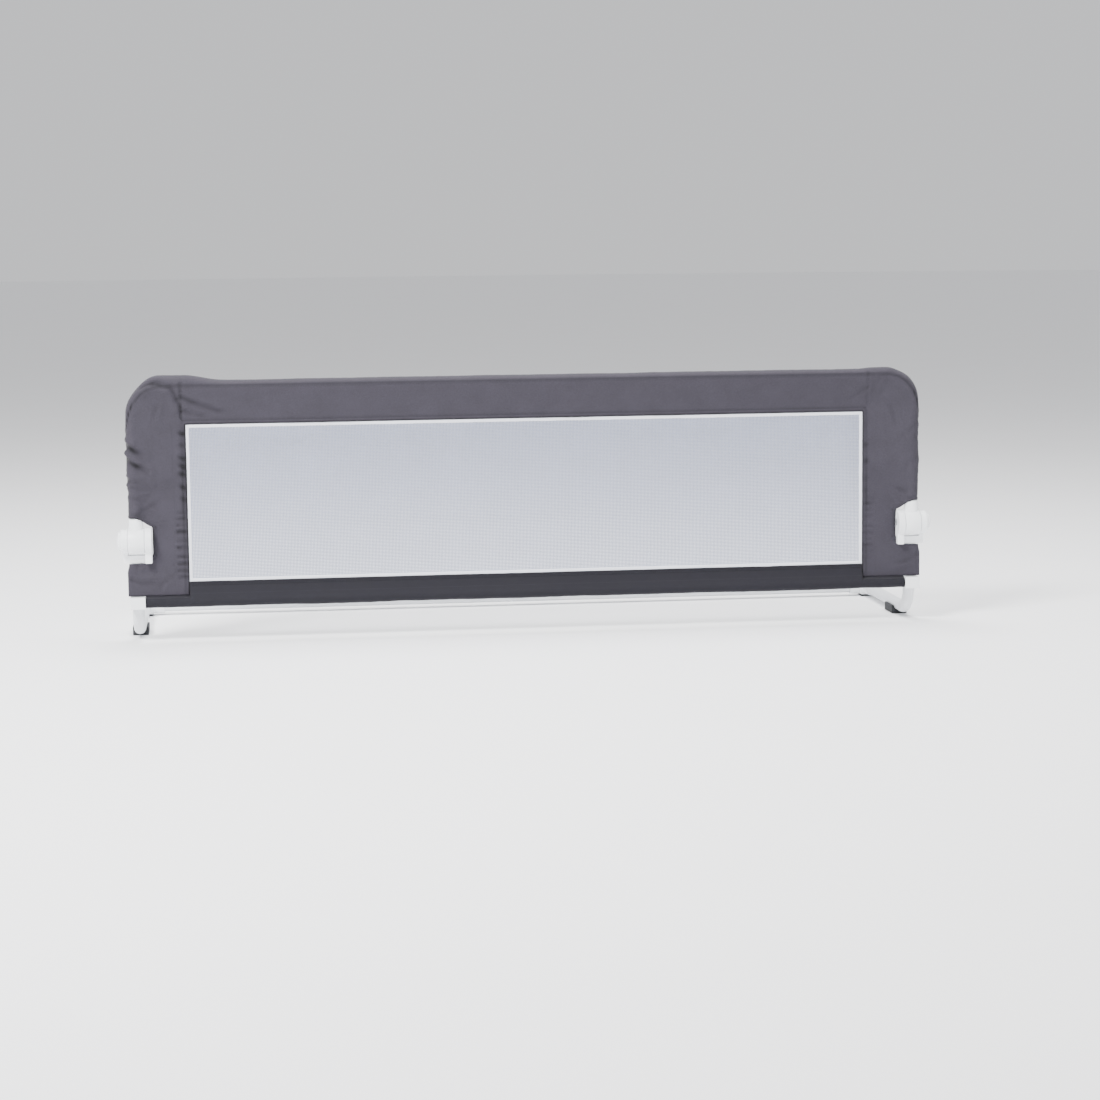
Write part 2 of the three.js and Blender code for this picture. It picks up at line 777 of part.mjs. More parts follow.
function rearElbow() {
  const alongLeg = drum(skirtRadius, 'y', -elbowReach, 0, edgeRadius / 2, tubeSides);
  const alongRear = drum(skirtRadius, 'x', -elbowReach, 0, edgeRadius / 2, tubeSides);
  const corner = new THREE.SphereGeometry(skirtRadius, tubeSides, tubeSides / 2);
  const square = shapeOf(oblong(-footHalf, footHalf, -footHalf, footHalf));
  const foot = pushed(square, 'z', -skirtRadius, 0, edgeRadius);
  const legBore = rod(legTubeRadius + fit, 'y', -elbowReach - overrun, -elbowStop);
  const rearBore = rod(legTubeRadius + fit, 'x', -elbowReach - overrun, -elbowStop);
  return cut(join(alongLeg, alongRear, corner, foot), legBore, rearBore);
}

function rearTube(from, to, swageTo) {
  const tube = straightTube(legTubeRadius, from, to, false, swageTo);
  const hole = rod(snapRadius + fit, 'z', 0, skirtRadius, screwSides).translate(swageLength / 2, 0, 0);
  return cut(tube, hole);
}

function elbowFoot() {
  const half = footHalf - edgeRadius;
  return pushed(shapeOf(oblong(-half, half, -half, half)), 'z', 0, footThickness);
}

function legPad() {
  const outline = shapeOf(oblong(-padHalfWidth, padHalfWidth, 0, padHeight));
  const block = pushed(outline, 'y', 0, padLength, clampBevel);
  const groove = rod(legTubeRadius + fit, 'y', -overrun, padLength + overrun);
  return cut(block, groove.translate(0, 0, legCentreHeight));
}

// Assembly

const rail = new THREE.Group();
rail.position.set(0, (frontReach - rearReach) / 2, 0);
const upperFrame = new THREE.Group();
upperFrame.position.set(0, 0, foldHeight);
const base = new THREE.Group();
rail.add(upperFrame, base);

function add(parent, name, geometry, material, x = 0, y = 0, z = 0) {
  const mesh = new THREE.Mesh(geometry, material);
  mesh.name = name;
  mesh.position.set(x, y, z);
  mesh.geometry.computeVertexNormals();
  parent.add(mesh);
}

function addPair(parent, name, geometry, material, x = 0, y = 0, z = 0) {
  add(parent, `left_${name}`, mirrored(geometry), material(), -x, y, z);
  add(parent, `right_${name}`, geometry, material(), x, y, z);
}

addPair(upperFrame, 'corner_tube', cornerTube(), paintedSteel);
add(upperFrame, 'top_tube', topTube(), paintedSteel(), 0, 0, topTubeRise);
addPair(upperFrame, 'hinge_hub', hingeHub(), whitePlastic, railX);
addPair(upperFrame, 'hub_screw', tubeScrew(neckRadius), zincSteel, railX, 0, neckScrewRise);
addPair(upperFrame, 'lock_spring', lockSpring(), springSteel, railX);
addPair(upperFrame, 'top_snap_button', snapPin(railTubeRadius), zincSteel, snapX, 0, topTubeRise);
addPair(upperFrame, 'top_snap_leaf', snapLeaf(railTubeRadius), springSteel, snapX, 0, topTubeRise);
add(upperFrame, 'cover_top_band', topBand(), greyCloth(), 0, 0, topTubeRise);
addPair(upperFrame, 'cover_column_upper', upperColumn(), greyCloth);
add(upperFrame, 'net_upper', netPanel(fit, windowTop - fit, netRowsUpper), netCloth());
addPair(upperFrame, 'release_button', releaseButton(), whitePlastic, railX);
addPair(upperFrame, 'lock_gear', lockGear(), whitePlastic, railX);
addPair(base, 'hinge_fork', hingeFork(), whitePlastic, railX, 0, foldHeight);
addPair(base, 'pivot_bolt', pivotBolt(), zincSteel, railX, 0, foldHeight);
addPair(base, 'pivot_washer', pivotWasher(), zincSteel, railX, 0, foldHeight);
addPair(base, 'pivot_nut', pivotNut(), zincSteel, railX, 0, foldHeight);
const forkScrewHeight = foldHeight - skirtScrewDrop;
addPair(base, 'fork_screw', tubeScrew(skirtRadius), zincSteel, railX, legSetback, forkScrewHeight);
addPair(base, 'leg_tube', legTube(), paintedSteel);
addPair(base, 'bar_clamp', barClamp(), whitePlastic, railX, 0, barHeight);
addPair(base, 'clamp_screw', tubeScrew(skirtRadius), zincSteel, railX, legSetback, barHeight);
addPair(base, 'rear_elbow', rearElbow(), whitePlastic, railX, baseDepth, legCentreHeight);
addPair(base, 'rubber_foot', elbowFoot(), blackRubber, railX, baseDepth);
addPair(base, 'leg_pad', legPad(), blackRubber, railX, padFront);

const leftBar = straightTube(barTubeRadius, -barEnd, -barSplit, false, true);
const rightBar = straightTube(barTubeRadius, barSplit, barEnd, false, false);
const leftRear = rearTube(-rearEnd, -barSplit, true);
const rightRear = rearTube(barSplit, rearEnd, false);
add(base, 'left_front_bar', leftBar, paintedSteel(), 0, barSetback, barHeight);
add(base, 'right_front_bar', rightBar, paintedSteel(), 0, barSetback, barHeight);
add(base, 'left_rear_tube', leftRear, paintedSteel(), 0, baseDepth, legCentreHeight);
add(base, 'right_rear_tube', rightRear, paintedSteel(), 0, baseDepth, legCentreHeight);

// The rear snap button points up, a quarter turn from the ones in the top tube
const rearSnap = new THREE.Group();
rearSnap.position.set(swageLength / 2, baseDepth, legCentreHeight);
rearSnap.rotation.x = Math.PI / 2;
base.add(rearSnap);
add(rearSnap, 'rear_snap_button', snapPin(legTubeRadius), zincSteel());
add(rearSnap, 'rear_snap_leaf', snapLeaf(legTubeRadius), springSteel());

addPair(base, 'cover_column_lower', lowerColumn(), greyCloth, 0, 0, foldHeight);
add(base, 'cover_bottom_band', bottomBand(), greyCloth(), 0, 0, foldHeight);
add(base, 'net_lower', netPanel(windowBottom + fit, -fit, netRowsLower), netCloth(), 0, 0, foldHeight);

export default rail;
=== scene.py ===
# %% [markdown]
# # A folding bed guard rail
# The rail is a bent steel tube in a sewn cloth cover with a net window, on two push-button hinges and two
# L-shaped legs. The solids come packed as a frame. This lesson dresses them: cloth, net and tubes become
# worked-out surfaces, and every surface gets a finish made of nodes.

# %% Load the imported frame
import json
import math

import bmesh
import bpy
import numpy as np
from mathutils import Matrix, Vector


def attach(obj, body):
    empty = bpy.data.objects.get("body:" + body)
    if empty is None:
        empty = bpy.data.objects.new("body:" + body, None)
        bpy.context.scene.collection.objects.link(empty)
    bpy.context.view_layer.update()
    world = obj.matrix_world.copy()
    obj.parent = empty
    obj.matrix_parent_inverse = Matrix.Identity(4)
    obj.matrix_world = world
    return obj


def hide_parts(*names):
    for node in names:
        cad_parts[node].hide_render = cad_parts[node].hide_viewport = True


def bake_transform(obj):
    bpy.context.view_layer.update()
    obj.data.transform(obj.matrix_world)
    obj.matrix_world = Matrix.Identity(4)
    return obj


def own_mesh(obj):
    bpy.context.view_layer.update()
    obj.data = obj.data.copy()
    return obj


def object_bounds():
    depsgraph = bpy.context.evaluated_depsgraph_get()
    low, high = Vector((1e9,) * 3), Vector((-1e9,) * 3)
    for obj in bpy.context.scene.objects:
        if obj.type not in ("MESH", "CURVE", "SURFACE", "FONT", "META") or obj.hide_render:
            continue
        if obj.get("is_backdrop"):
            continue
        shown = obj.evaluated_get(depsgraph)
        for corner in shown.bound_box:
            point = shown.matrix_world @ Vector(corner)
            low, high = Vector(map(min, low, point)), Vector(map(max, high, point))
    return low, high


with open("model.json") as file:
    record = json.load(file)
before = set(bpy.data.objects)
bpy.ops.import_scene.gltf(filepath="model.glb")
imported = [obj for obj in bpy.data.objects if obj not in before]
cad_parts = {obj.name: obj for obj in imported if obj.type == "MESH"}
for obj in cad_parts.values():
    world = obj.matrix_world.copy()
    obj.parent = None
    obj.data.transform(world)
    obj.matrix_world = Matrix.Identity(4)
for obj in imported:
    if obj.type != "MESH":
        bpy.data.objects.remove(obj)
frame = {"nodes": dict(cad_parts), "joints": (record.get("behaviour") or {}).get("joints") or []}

cad_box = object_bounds()
joints = {joint["name"]: joint for joint in frame["joints"]}
fold_axis = np.array(joints["fold"]["pos_m"])
print("nodes", len(frame["nodes"]), "fold axis", fold_axis, "box", [tuple(corner) for corner in cad_box])

# %% [markdown]
# ## The camera
# The rail's straight edges in the photograph give the place it was taken from: about five metres off, seven
# degrees from the left and seven degrees above, with a long lens. The camera is built first, so that
# everything that follows can be judged from there.

# %% Camera
def linked(name, data):
    """An object in the scene that holds the data."""
    item = bpy.data.objects.new(name, data)
    bpy.context.scene.collection.objects.link(item)
    return item


LENS_MM = 85.09
CAMERA_TURN = math.radians(-6.77)
CAMERA_TILT = math.radians(7)
CAMERA_ROLL = math.radians(-0.64)
CAMERA_DISTANCE = 4.929
camera_target = Vector(fold_axis) + Vector((0.0368, 0, -0.0366))

camera_data = bpy.data.cameras.new("photo_camera")
camera_data.lens = LENS_MM
camera_data.sensor_width = 36
camera = linked("photo_camera", camera_data)
# turned at the target, tilted, backed away along its own z, and rolled
camera.matrix_world = (
    Matrix.Translation(camera_target) @ Matrix.Rotation(CAMERA_TURN, 4, "Z")
    @ Matrix.Rotation(math.pi / 2 - CAMERA_TILT, 4, "X") @ Matrix.Translation((0, 0, CAMERA_DISTANCE))
    @ Matrix.Rotation(CAMERA_ROLL, 4, "Z"))
bpy.context.scene.camera = camera
print("camera at", tuple(round(x, 3) for x in camera.matrix_world.translation))

# %% [markdown]
# ## Helpers for surfaces
# Each new surface is a grid of points worked out with numpy. It could be modelled by hand, but a formula
# keeps every size tied to the frame. Lengths are in millimetres, measured from the fold axis.

# %% From millimetres at the fold axis to metres in the row frame
def in_row(points):
    """Metres in the row frame = millimetres / 1000 + the place of the fold axis."""
    return np.asarray(points, float) / 1000 + fold_axis


def grid_faces(rows, columns, close_rows=False, close_columns=False):
    """Squares of a grid: corner (r, c) has the number r * columns + c. A closed side runs on to the first."""
    r = np.arange(rows if close_rows else rows - 1)[:, None]
    c = np.arange(columns if close_columns else columns - 1)[None, :]
    r2, c2 = (r + 1) % rows, (c + 1) % columns
    corners = [r * columns + c, r2 * columns + c, r2 * columns + c2, r * columns + c2]
    return np.stack(corners, -1).reshape(-1, 4)


def repeated(faces, count, size):
    """The faces of count shapes that are alike, each with its own size points."""
    return (np.asarray(faces)[None] + (np.arange(count) * size)[:, None, None]).reshape(-1, len(faces[0]))


def together(parts):
    """Several shapes as one: the points in metres, and the faces with their corners counted on."""
    starts = np.cumsum([0] + [len(points) for points, _ in parts])
    return (in_row(np.concatenate([points for points, _ in parts])),
            np.concatenate([faces + start for (_, faces), start in zip(parts, starts)]))


def full_turn(count):
    """Angles of this many places round a circle."""
    return np.linspace(0, 2 * math.pi, count, endpoint=False)


def enclosed(points, faces):
    """Six times the volume inside: the sum of a . (b x c) over the triangles, negative if turned inwards."""
    corners = points[faces]
    total = 0.0
    for k in range(1, faces.shape[1] - 1):
        total += np.einsum("ij,ij->", corners[:, 0], np.cross(corners[:, k], corners[:, k + 1]))
    return total


def make_piece(name, points, faces, material, closed=True):
    """A mesh object at the origin from points in metres. A closed surface is turned to face outwards."""
    points = np.asarray(points, float).reshape(-1, 3)
    if closed and enclosed(points - points.mean(0), faces) < 0:
        faces = faces[:, ::-1]
    mesh = bpy.data.meshes.new(name)
    mesh.from_pydata(points, [], faces)
    mesh.shade_smooth()
    mesh.materials.append(material)
    return linked(name, mesh)


def add_wall(piece, thickness):
    """Gives an open sheet its thickness, inwards from the surface."""
    wall = piece.modifiers.new("wall", "SOLIDIFY")
    wall.thickness = thickness
    wall.offset = -1


def soft_noise(a, b, seed):
    """Smooth noise from -1 to 1: seeded numbers on whole places, blended between them with 3t^2 - 2t^3."""
    size = 64
    table = np.random.default_rng(seed).uniform(-1, 1, (size, size))
    ia, ib = np.floor(a).astype(int), np.floor(b).astype(int)
    ta, tb = a - ia, b - ib
    ta, tb = ta * ta * (3 - 2 * ta), tb * tb * (3 - 2 * tb)
    corner = lambda i, j: table[(ia + i) % size, (ib + j) % size]
    low = corner(0, 0) * (1 - ta) + corner(1, 0) * ta
    high = corner(0, 1) * (1 - ta) + corner(1, 1) * ta
    return low * (1 - tb) + high * tb


def bump_of(value, width):
    """A round hill: exp(-(value / width)^2)."""
    return np.exp(-((value / width) ** 2))


def hills(value, *parts):
    """Round hills added up, each (size, place, width). A valley has a negative size."""
    return sum(size * bump_of(value - at, width) for size, at, width in parts)


def step_of(value, low, high):
    """0 below low, 1 above high, and 3t^2 - 2t^3 between them."""
    t = np.clip((value - low) / (high - low), 0, 1)
    return t * t * (3 - 2 * t)


# %% [markdown]
# ## Helpers for finishes
# A finish is a small network of nodes. Each helper adds one node and returns it with the name of its output,
# ready to be joined to the next, so a material reads as a list of what it is made of. Colours are written as
# seen on a screen and turned to linear light once.

# %% Colours and nodes
def linear(code):
    """sRGB hex to linear: value / 12.92 below 0.04045, and ((value + 0.055) / 1.055) ^ 2.4 above it."""
    parts = [int(code[i:i + 2], 16) / 255 for i in (1, 3, 5)]
    bent = [p / 12.92 if p <= 0.04045 else ((p + 0.055) / 1.055) ** 2.4 for p in parts]
    return (*bent, 1.0)


def feed(material, node, inputs):
    """Sets the inputs of a node. An input is a value, or (node, output name) to join to."""
    for key, value in inputs.items():
        if isinstance(value, tuple) and isinstance(value[0], bpy.types.Node):
            material.node_tree.links.new(value[0].outputs[value[1]], node.inputs[key])
        else:
            node.inputs[key].default_value = value


def add_node(material, kind, output, inputs=None, **settings):
    """One node of the given kind, with its settings and inputs."""
    node = material.node_tree.nodes.new(kind)
    for key, value in settings.items():
        setattr(node, key, value)
    feed(material, node, inputs or {})
    return node, output


def new_finish(name):
    """An empty material and the principled shader that ends it."""
    material = bpy.data.materials.new(name)
    material.use_nodes = True
    material.node_tree.nodes.clear()
    shader = add_node(material, "ShaderNodeBsdfPrincipled", "BSDF")
    add_node(material, "ShaderNodeOutputMaterial", "", {"Surface": shader})
    return material, shader[0]


def object_place(material):
    """Coordinates on the object, in metres."""
    return add_node(material, "ShaderNodeTexCoord", "Object")


def noise(material, where, scale, detail, roughness=0.5):
    """Cloudy noise."""
    return add_node(material, "ShaderNodeTexNoise", "Fac",
                    {"Vector": where, "Scale": scale, "Detail": detail, "Roughness": roughness})


def bands(material, where, direction, pitch_m, distortion=0.0):
    """Soft bands that repeat every pitch. A wave texture of scale 1 repeats after pi / 10."""
    return add_node(material, "ShaderNodeTexWave", "Fac",
                    {"Vector": where, "Scale": math.pi / 10 / pitch_m, "Distortion": distortion},
                    wave_type="BANDS", bands_direction=direction)


def ranged(material, value, low, high, start=0.3, end=0.7):
    """Moves a value from start..end to low..high."""
    return add_node(material, "ShaderNodeMapRange", "Result",
                    {"Value": value, "From Min": start, "From Max": end, "To Min": low, "To Max": high})


def times(material, a, b):
    """Product of two values."""
    return add_node(material, "ShaderNodeMath", "Value", {0: a, 1: b}, operation="MULTIPLY")


def dyed(material, colour, tone):
    """A colour made lighter or darker by a tone."""
    return add_node(material, "ShaderNodeVectorMath", "Vector", {"Vector": colour, "Scale": tone},
                    operation="SCALE")


def bump(material, height, strength, distance, **under):
    """Small relief that only turns the light."""
    return add_node(material, "ShaderNodeBump", "Normal",
                    {"Height": height, "Strength": strength, "Distance": distance, **under})


# %% [markdown]
# ## The cover's cloth
# The cover is a plain woven polyester cloth with a matt coating on its back. Warp and weft pass over and
# under each other, so the surface is a fine checker of little humps. The real threads are 0.5 mm apart, too
# fine to show, so they are drawn 1.7 mm apart. Slow mottling, and shade painted into the seams and folds,
# keep it from looking printed.

# %% Finish: plain woven polyester
THREAD_PITCH_M = 0.0017
WHITE, BLACK = (1, 1, 1, 1), (0, 0, 0, 1)


def woven_cloth(name, colour, shade_colour):
    """Plain weave, drawn coarser than real: gives the eye a matt, slightly uneven cloth with soft sheen."""
    material, shader = new_finish(name)
    run = add_node(material, "ShaderNodeUVMap", "UV", uv_map="cloth_run")
    warp, weft = (bands(material, run, way, THREAD_PITCH_M) for way in "XY")
    over = add_node(material, "ShaderNodeTexChecker", "Fac",
                    {"Vector": run, "Scale": 1 / THREAD_PITCH_M, "Color1": WHITE, "Color2": BLACK})
    weave = add_node(material, "ShaderNodeMix", "Result", {"Factor": over, "A": warp, "B": weft},
                     data_type="FLOAT")
    where = object_place(material)
    mottle = noise(material, where, 22.0, 4.0, 0.6)
    slub = noise(material, where, 420.0, 2.0)
    thread = times(material, ranged(material, mottle, 0.9, 1.1), ranged(material, weave, 0.78, 1.12, 0, 1))
    tone = times(material, thread, ranged(material, slub, 0.92, 1.08))
    # painted shade: an attribute mixes the cloth towards a darker colour in seams, folds and along edges
    seam = add_node(material, "ShaderNodeAttribute", "Fac", attribute_name="painted_crease_shade")
    base = add_node(material, "ShaderNodeMix", "Result",
                    {"Factor": seam, "A": linear(colour), "B": linear(shade_colour)}, data_type="RGBA")
    relief = bump(material, weave, 0.35, 0.0005)
    feed(material, shader, {
        "Base Color": dyed(material, base, tone), "Roughness": ranged(material, mottle, 0.74, 0.86),
        "Normal": bump(material, mottle, 0.25, 0.002, Normal=relief),
        "Sheen Weight": 0.12, "Sheen Roughness": 0.4, "Specular IOR Level": 0.2})
    return material


grey_cloth = woven_cloth("woven_polyester_grey", "#38353d", "#131215")
# the same cloth made darker for the hem: painted shade
painted_shade_cloth = woven_cloth("woven_polyester_painted_shade", "#1e1d23", "#0e0d10")
print("cloth threads drawn every", THREAD_PITCH_M * 1000, "mm")

# %% [markdown]
# ## The other finishes
# The hinges are injection-moulded white plastic with a faint orange-peel skin. The tubes are powder-coated
# steel, the screws zinc-plated, the springs bare spring steel and the feet moulded black rubber. The net is
# knitted from white polyester yarn, and the stitches are a twisted polyester thread.

# %% Finish: moulded plastic, powder coat and rubber share a pebbled skin
def pebbled(name, colour, roughness, grain_mm, relief, mottle=0.04, metallic=0.0):
    """A moulded, coated or plated skin: one noise at the grain's size for relief and one for slow tone."""
    material, shader = new_finish(name)
    where = object_place(material)
    grain = noise(material, where, 1000 / grain_mm, 2.0)
    cloud = noise(material, where, 35.0, 5.0, 0.65)
    feed(material, shader, {
        "Base Color": dyed(material, linear(colour)[:3], ranged(material, cloud, 1 - mottle, 1)),
        "Roughness": ranged(material, cloud, roughness - 0.05, roughness + 0.07),
        "Normal": bump(material, grain, relief, 0.0003), "Metallic": metallic})
    return material


# Polypropylene, moulded: a soft satin white with a faint orange peel
hinge_plastic = pebbled("moulded_white_polypropylene", "#f2f4f6", 0.36, 1.2, 0.12, 0.03)
# Steel, powder-coated: off-white with a fine pebble
powder_coat = pebbled("powder_coated_steel", "#dfe1e4", 0.42, 0.9, 0.3, 0.05)
# Steel, zinc-plated: pale metal with cloudy patches
zinc_plate = pebbled("zinc_plated_steel", "#b9bcc0", 0.34, 0.7, 0.15, 0.16, 1.0)
# Spring steel, oiled: darker metal
spring_steel = pebbled("oiled_spring_steel", "#8a8d92", 0.3, 0.5, 0.15, 0.12, 1.0)
# Rubber, moulded: near black and matt with a dusty bloom
foot_rubber = pebbled("moulded_black_rubber", "#2c2d30", 0.82, 0.8, 0.5, 0.25)
print("finishes", len(bpy.data.materials))


# %% Finish: yarn for the net, its binding and the stitches
def twisted_yarn(name, colour, twist_mm, sheen):
    """Yarn: slanting bands at the twist's length give the eye fine strands, and sheen a soft edge."""
    material, shader = new_finish(name)
    where = object_place(material)
    twist = bands(material, where, "DIAGONAL", twist_mm / 1000, 1.5)
    cloud = noise(material, where, 18.0, 3.0)
    tone = times(material, ranged(material, twist, 0.86, 1.0, 0, 1), ranged(material, cloud, 0.95, 1.0))
    feed(material, shader, {
        "Base Color": dyed(material, linear(colour)[:3], tone), "Roughness": 0.8,
        "Normal": bump(material, twist, 0.3, 0.0002), "Specular IOR Level": 0.25, "Sheen Weight": sheen})
    return material


net_yarn = twisted_yarn("knitted_white_polyester", "#989fb9", 0.9, 0.3)
binding_tape = twisted_yarn("woven_white_tape", "#e6e8f0", 0.8, 0.3)
sewing_thread = twisted_yarn("polyester_sewing_thread", "#2a2830", 0.5, 0.05)

# %% [markdown]
# ## The shape of the cover
# The cover is one sewn sleeve. Seen in section, its front cloth comes straight off the tube and meets the
# back cloth at the edge of the window. The sleeve runs up one side column, round the corner, along the top
# and down the other side. So it is worked out as one profile carried along the tube: two flat cloths and a
# wrap round the tube. Beside the hinges there is no tube, and the same profile closes to a thin hem.

# %% Sizes of the cover, in millimetres from the fold axis
SEAM_X = 641.0            # window edge
RAIL_X = 737.5            # middle of the side tube
TUBE_RISE = 284.0         # middle of the top tube
TUBE_RADIUS = 11.0
TUBE_GAP = 0.8            # least gap between the tube and the cloth
CLOTH_LAYER = 1.0         # room for a second cloth
BEND = 50.0               # bend of the tube
SLEEVE = 12.9             # radius of the cloth round the tube
WINDOW_TOP = 214.5
WINDOW_FOOT = -78.5
HEM_TOP = -104.0          # the columns end here, on the hem sleeve
SLEEVE_FOOT = 43.5        # the sleeve opens here, over the hinge
MOUTH_DROP = 3.5          # and hangs this much lower on its inner side
MOUTH_INSIDE = 8.2        # the front cloth touches the tube this far inside its middle there
NOTCH_FOOT = -43.0        # lower end of the cut-out beside the hinge
LOWER_EDGE = 755.0        # outer edge of the column under the cut-out
WEB_MIDDLE = 1.4          # the two cloths meet here, just behind the fold axis
WEB_HALF = 0.9
HUG = 6                   # beside the hinge the cloth stays flat and then turns up onto the tube
HUG_LIFT = 10.9           # by this much
HUG_FADE = (50, 120)      # between these heights it comes to run straight
CLOTH_M = 0.0006          # thickness, in metres

# the cut-out's edge: height, and how far inside the tube's middle it lies. It turns in at CUT_TURN
CUT_TURN = 26.4
CUT_OUT = ((-43, 17.5), (-39.5, 19.5), (-35.5, 23), (-31, 27), (-27.5, 29.4), (-24, 30.2), (20, 30.2),
           (24, 29.8), (CUT_TURN, 28.6), (27.6, 25.5), (30, 21.6), (33, 17.4), (36, 13.4), (38.5, 10.2),
           (40, MOUTH_INSIDE))
# the hinge's neck: heights, and its radius at each
NECK = ((24, 42, 43.5), (14, 12.6, TUBE_RADIUS))

# columns of the grid on the front cloth, the wrap and the back cloth. Beside the hinge the first KEPT_COLUMNS
# keep their places, up to KEPT from the window
FRONT, WRAP, BACK = 26, 14, 12
KEPT, KEPT_COLUMNS = 64.0, 16
FRONT_MARK, BACK_MARK = -1.0, 4.0


def station_table():
    """A row a station down the right side: inner x, z; tube x, z; outward x, z; radius; tube y; lateness."""
    rows = []
    bend_x, bend_z = RAIL_X - BEND, TUBE_RISE - BEND
    for x in np.linspace(SEAM_X + 3, bend_x, 14):
        rows.append((SEAM_X, WINDOW_TOP, x, TUBE_RISE, 0, 1, SLEEVE, 0, 1))
    for turn in np.linspace(math.pi / 2, 0, 28)[1:]:
        along, high = math.cos(turn), math.sin(turn)
        rows.append((SEAM_X, WINDOW_TOP, bend_x + BEND * along, bend_z + BEND * high, along, high,
                     SLEEVE, 0, 1))
    for z in np.linspace(bend_z, WINDOW_TOP, 7)[1:-1]:
        rows.append((SEAM_X, WINDOW_TOP, RAIL_X, z, 1, 0, SLEEVE, 0, 1))
    for z in np.linspace(WINDOW_TOP, SLEEVE_FOOT, 60):
        late = 1 + (HUG - 1) * (1 - float(step_of(z, *HUG_FADE)))
        rows.append((SEAM_X, z, RAIL_X, z, 1, 0, SLEEVE, 0, late))
    mouth = len(rows) - 1
    round_neck = np.linspace(SLEEVE_FOOT - MOUTH_DROP - 0.8, CUT_TURN, 14)
    for z in (*round_neck, *np.linspace(CUT_TURN - 1, NOTCH_FOOT + 0.6, 40)):
        edge = RAIL_X - np.interp(z, *zip(*CUT_OUT))
        across = (edge - SEAM_X) / (RAIL_X - SEAM_X - MOUTH_INSIDE)
        lift = HUG_LIFT * across ** HUG * float(step_of(np.array(z), 8, 28))
        rows.append((SEAM_X, z, edge - WEB_HALF, z, 1, 0, WEB_HALF, WEB_MIDDLE - lift, HUG))
    for z in np.linspace(NOTCH_FOOT, HEM_TOP, 20):
        edge = LOWER_EDGE - 3 * float(step_of(np.array(z), -60, -44))
        rows.append((SEAM_X, z, edge - WEB_HALF, z, 1, 0, WEB_HALF, WEB_MIDDLE, 1))
    return np.array(rows, float), mouth


right_side, right_mouth = station_table()
top_x = np.linspace(-SEAM_X, SEAM_X, 325)
top = np.zeros((len(top_x), 9))
top[:, 0] = top[:, 2] = top_x
top[:, 1], top[:, 3], top[:, 5], top[:, 6], top[:, 8] = WINDOW_TOP, TUBE_RISE, 1, SLEEVE, 1
left_side = right_side[::-1] * np.array([-1, 1, -1, 1, -1, 1, 1, 1, 1])
stations = np.concatenate([left_side, top, right_side])
# rows of faces under the two mouths, where the wrap is left out
open_rows = (len(left_side) - 1 - right_mouth - 1, len(left_side) + len(top) + right_mouth)
print("stations along the sleeve", len(stations))


# %% A profile at each station
def spread(j, count, span, held):
    """How far across the cloth column j lies: evenly or, as held goes to 1, at its own place up to KEPT."""
    kept = KEPT_COLUMNS * count / FRONT
    share = KEPT / span
    own = share * j / kept if j <= kept else share + (1 - share) * (j - kept) / (count - kept)
    return j / count * (1 - held) + own * held


def sleeve_grid(rows, front=FRONT, wrap=WRAP, back=BACK, held=0.0):
    """Points of the sleeve, which way is out, and (distance from the window, angle round the tube). The front
    cloth runs from the window's edge to where its line touches the tube, the wrap is an arc of pi + the two
    touching angles, and the back cloth returns."""
    inner, tube, out = rows[:, 0:2], rows[:, 2:4], rows[:, 4:6]
    radius, depth, late = rows[:, 6], rows[:, 7], rows[:, 8]
    length = np.linalg.norm(tube - inner, axis=1)
    touch_front = np.arctan(late * (radius - depth + WEB_MIDDLE - WEB_HALF) / length)
    touch_back = np.arctan(late * np.maximum(radius + depth - WEB_MIDDLE - WEB_HALF, 0) / length)

    def cloth(j, count, touching, way, mark):
        touch = tube - out * (radius * np.sin(touching))[:, None]
        f = spread(j, count, np.linalg.norm(touch - inner, axis=1), held)
        y0, y1 = WEB_MIDDLE + way * WEB_HALF, depth + way * radius * np.cos(touching)
        flat = inner + (touch - inner) * f[:, None]
        return (np.stack([flat[:, 0], y0 + (y1 - y0) * f ** late, flat[:, 1]], -1),
                np.tile([0.0, way, 0.0], (len(rows), 1)),
                np.stack([f * length, np.full(len(rows), mark)], -1))

    def arc(j):
        angle = -touch_front + (math.pi + touch_front + touch_back) * j / wrap
        flat = tube + out * (radius * np.sin(angle))[:, None]
        return (np.stack([flat[:, 0], depth - radius * np.cos(angle), flat[:, 1]], -1),
                np.stack([out[:, 0] * np.sin(angle), -np.cos(angle), out[:, 1] * np.sin(angle)], -1),
                np.stack([length, angle], -1))

    columns = [cloth(j, front, touch_front, -1.0, FRONT_MARK) for j in range(front)]
    columns += [arc(j) for j in range(wrap + 1)]
    columns += [cloth(j, back, touch_back, 1.0, BACK_MARK) for j in range(back - 1, -1, -1)]
    return [np.stack(part, 1) for part in zip(*columns)]


on_column = (np.abs(stations[:, 4]) == 1) & (stations[:, 3] < WINDOW_TOP)
has_tube = stations[:, 6] == SLEEVE
held = np.where(on_column, step_of(-stations[:, 3], -200, -110), 0)
cover, cover_out, cover_share = sleeve_grid(stations, held=held)
inside = RAIL_X - np.abs(cover[..., 0])
near_mouth = (on_column & has_tube & (stations[:, 3] < 70))[:, None]
lowered = MOUTH_DROP * step_of(inside, -1, 8) * step_of(-cover[..., 2], -66, -SLEEVE_FOOT)
lowered = np.where(near_mouth, lowered, 0)
cover[..., 2] -= lowered
print("cover grid", cover.shape)
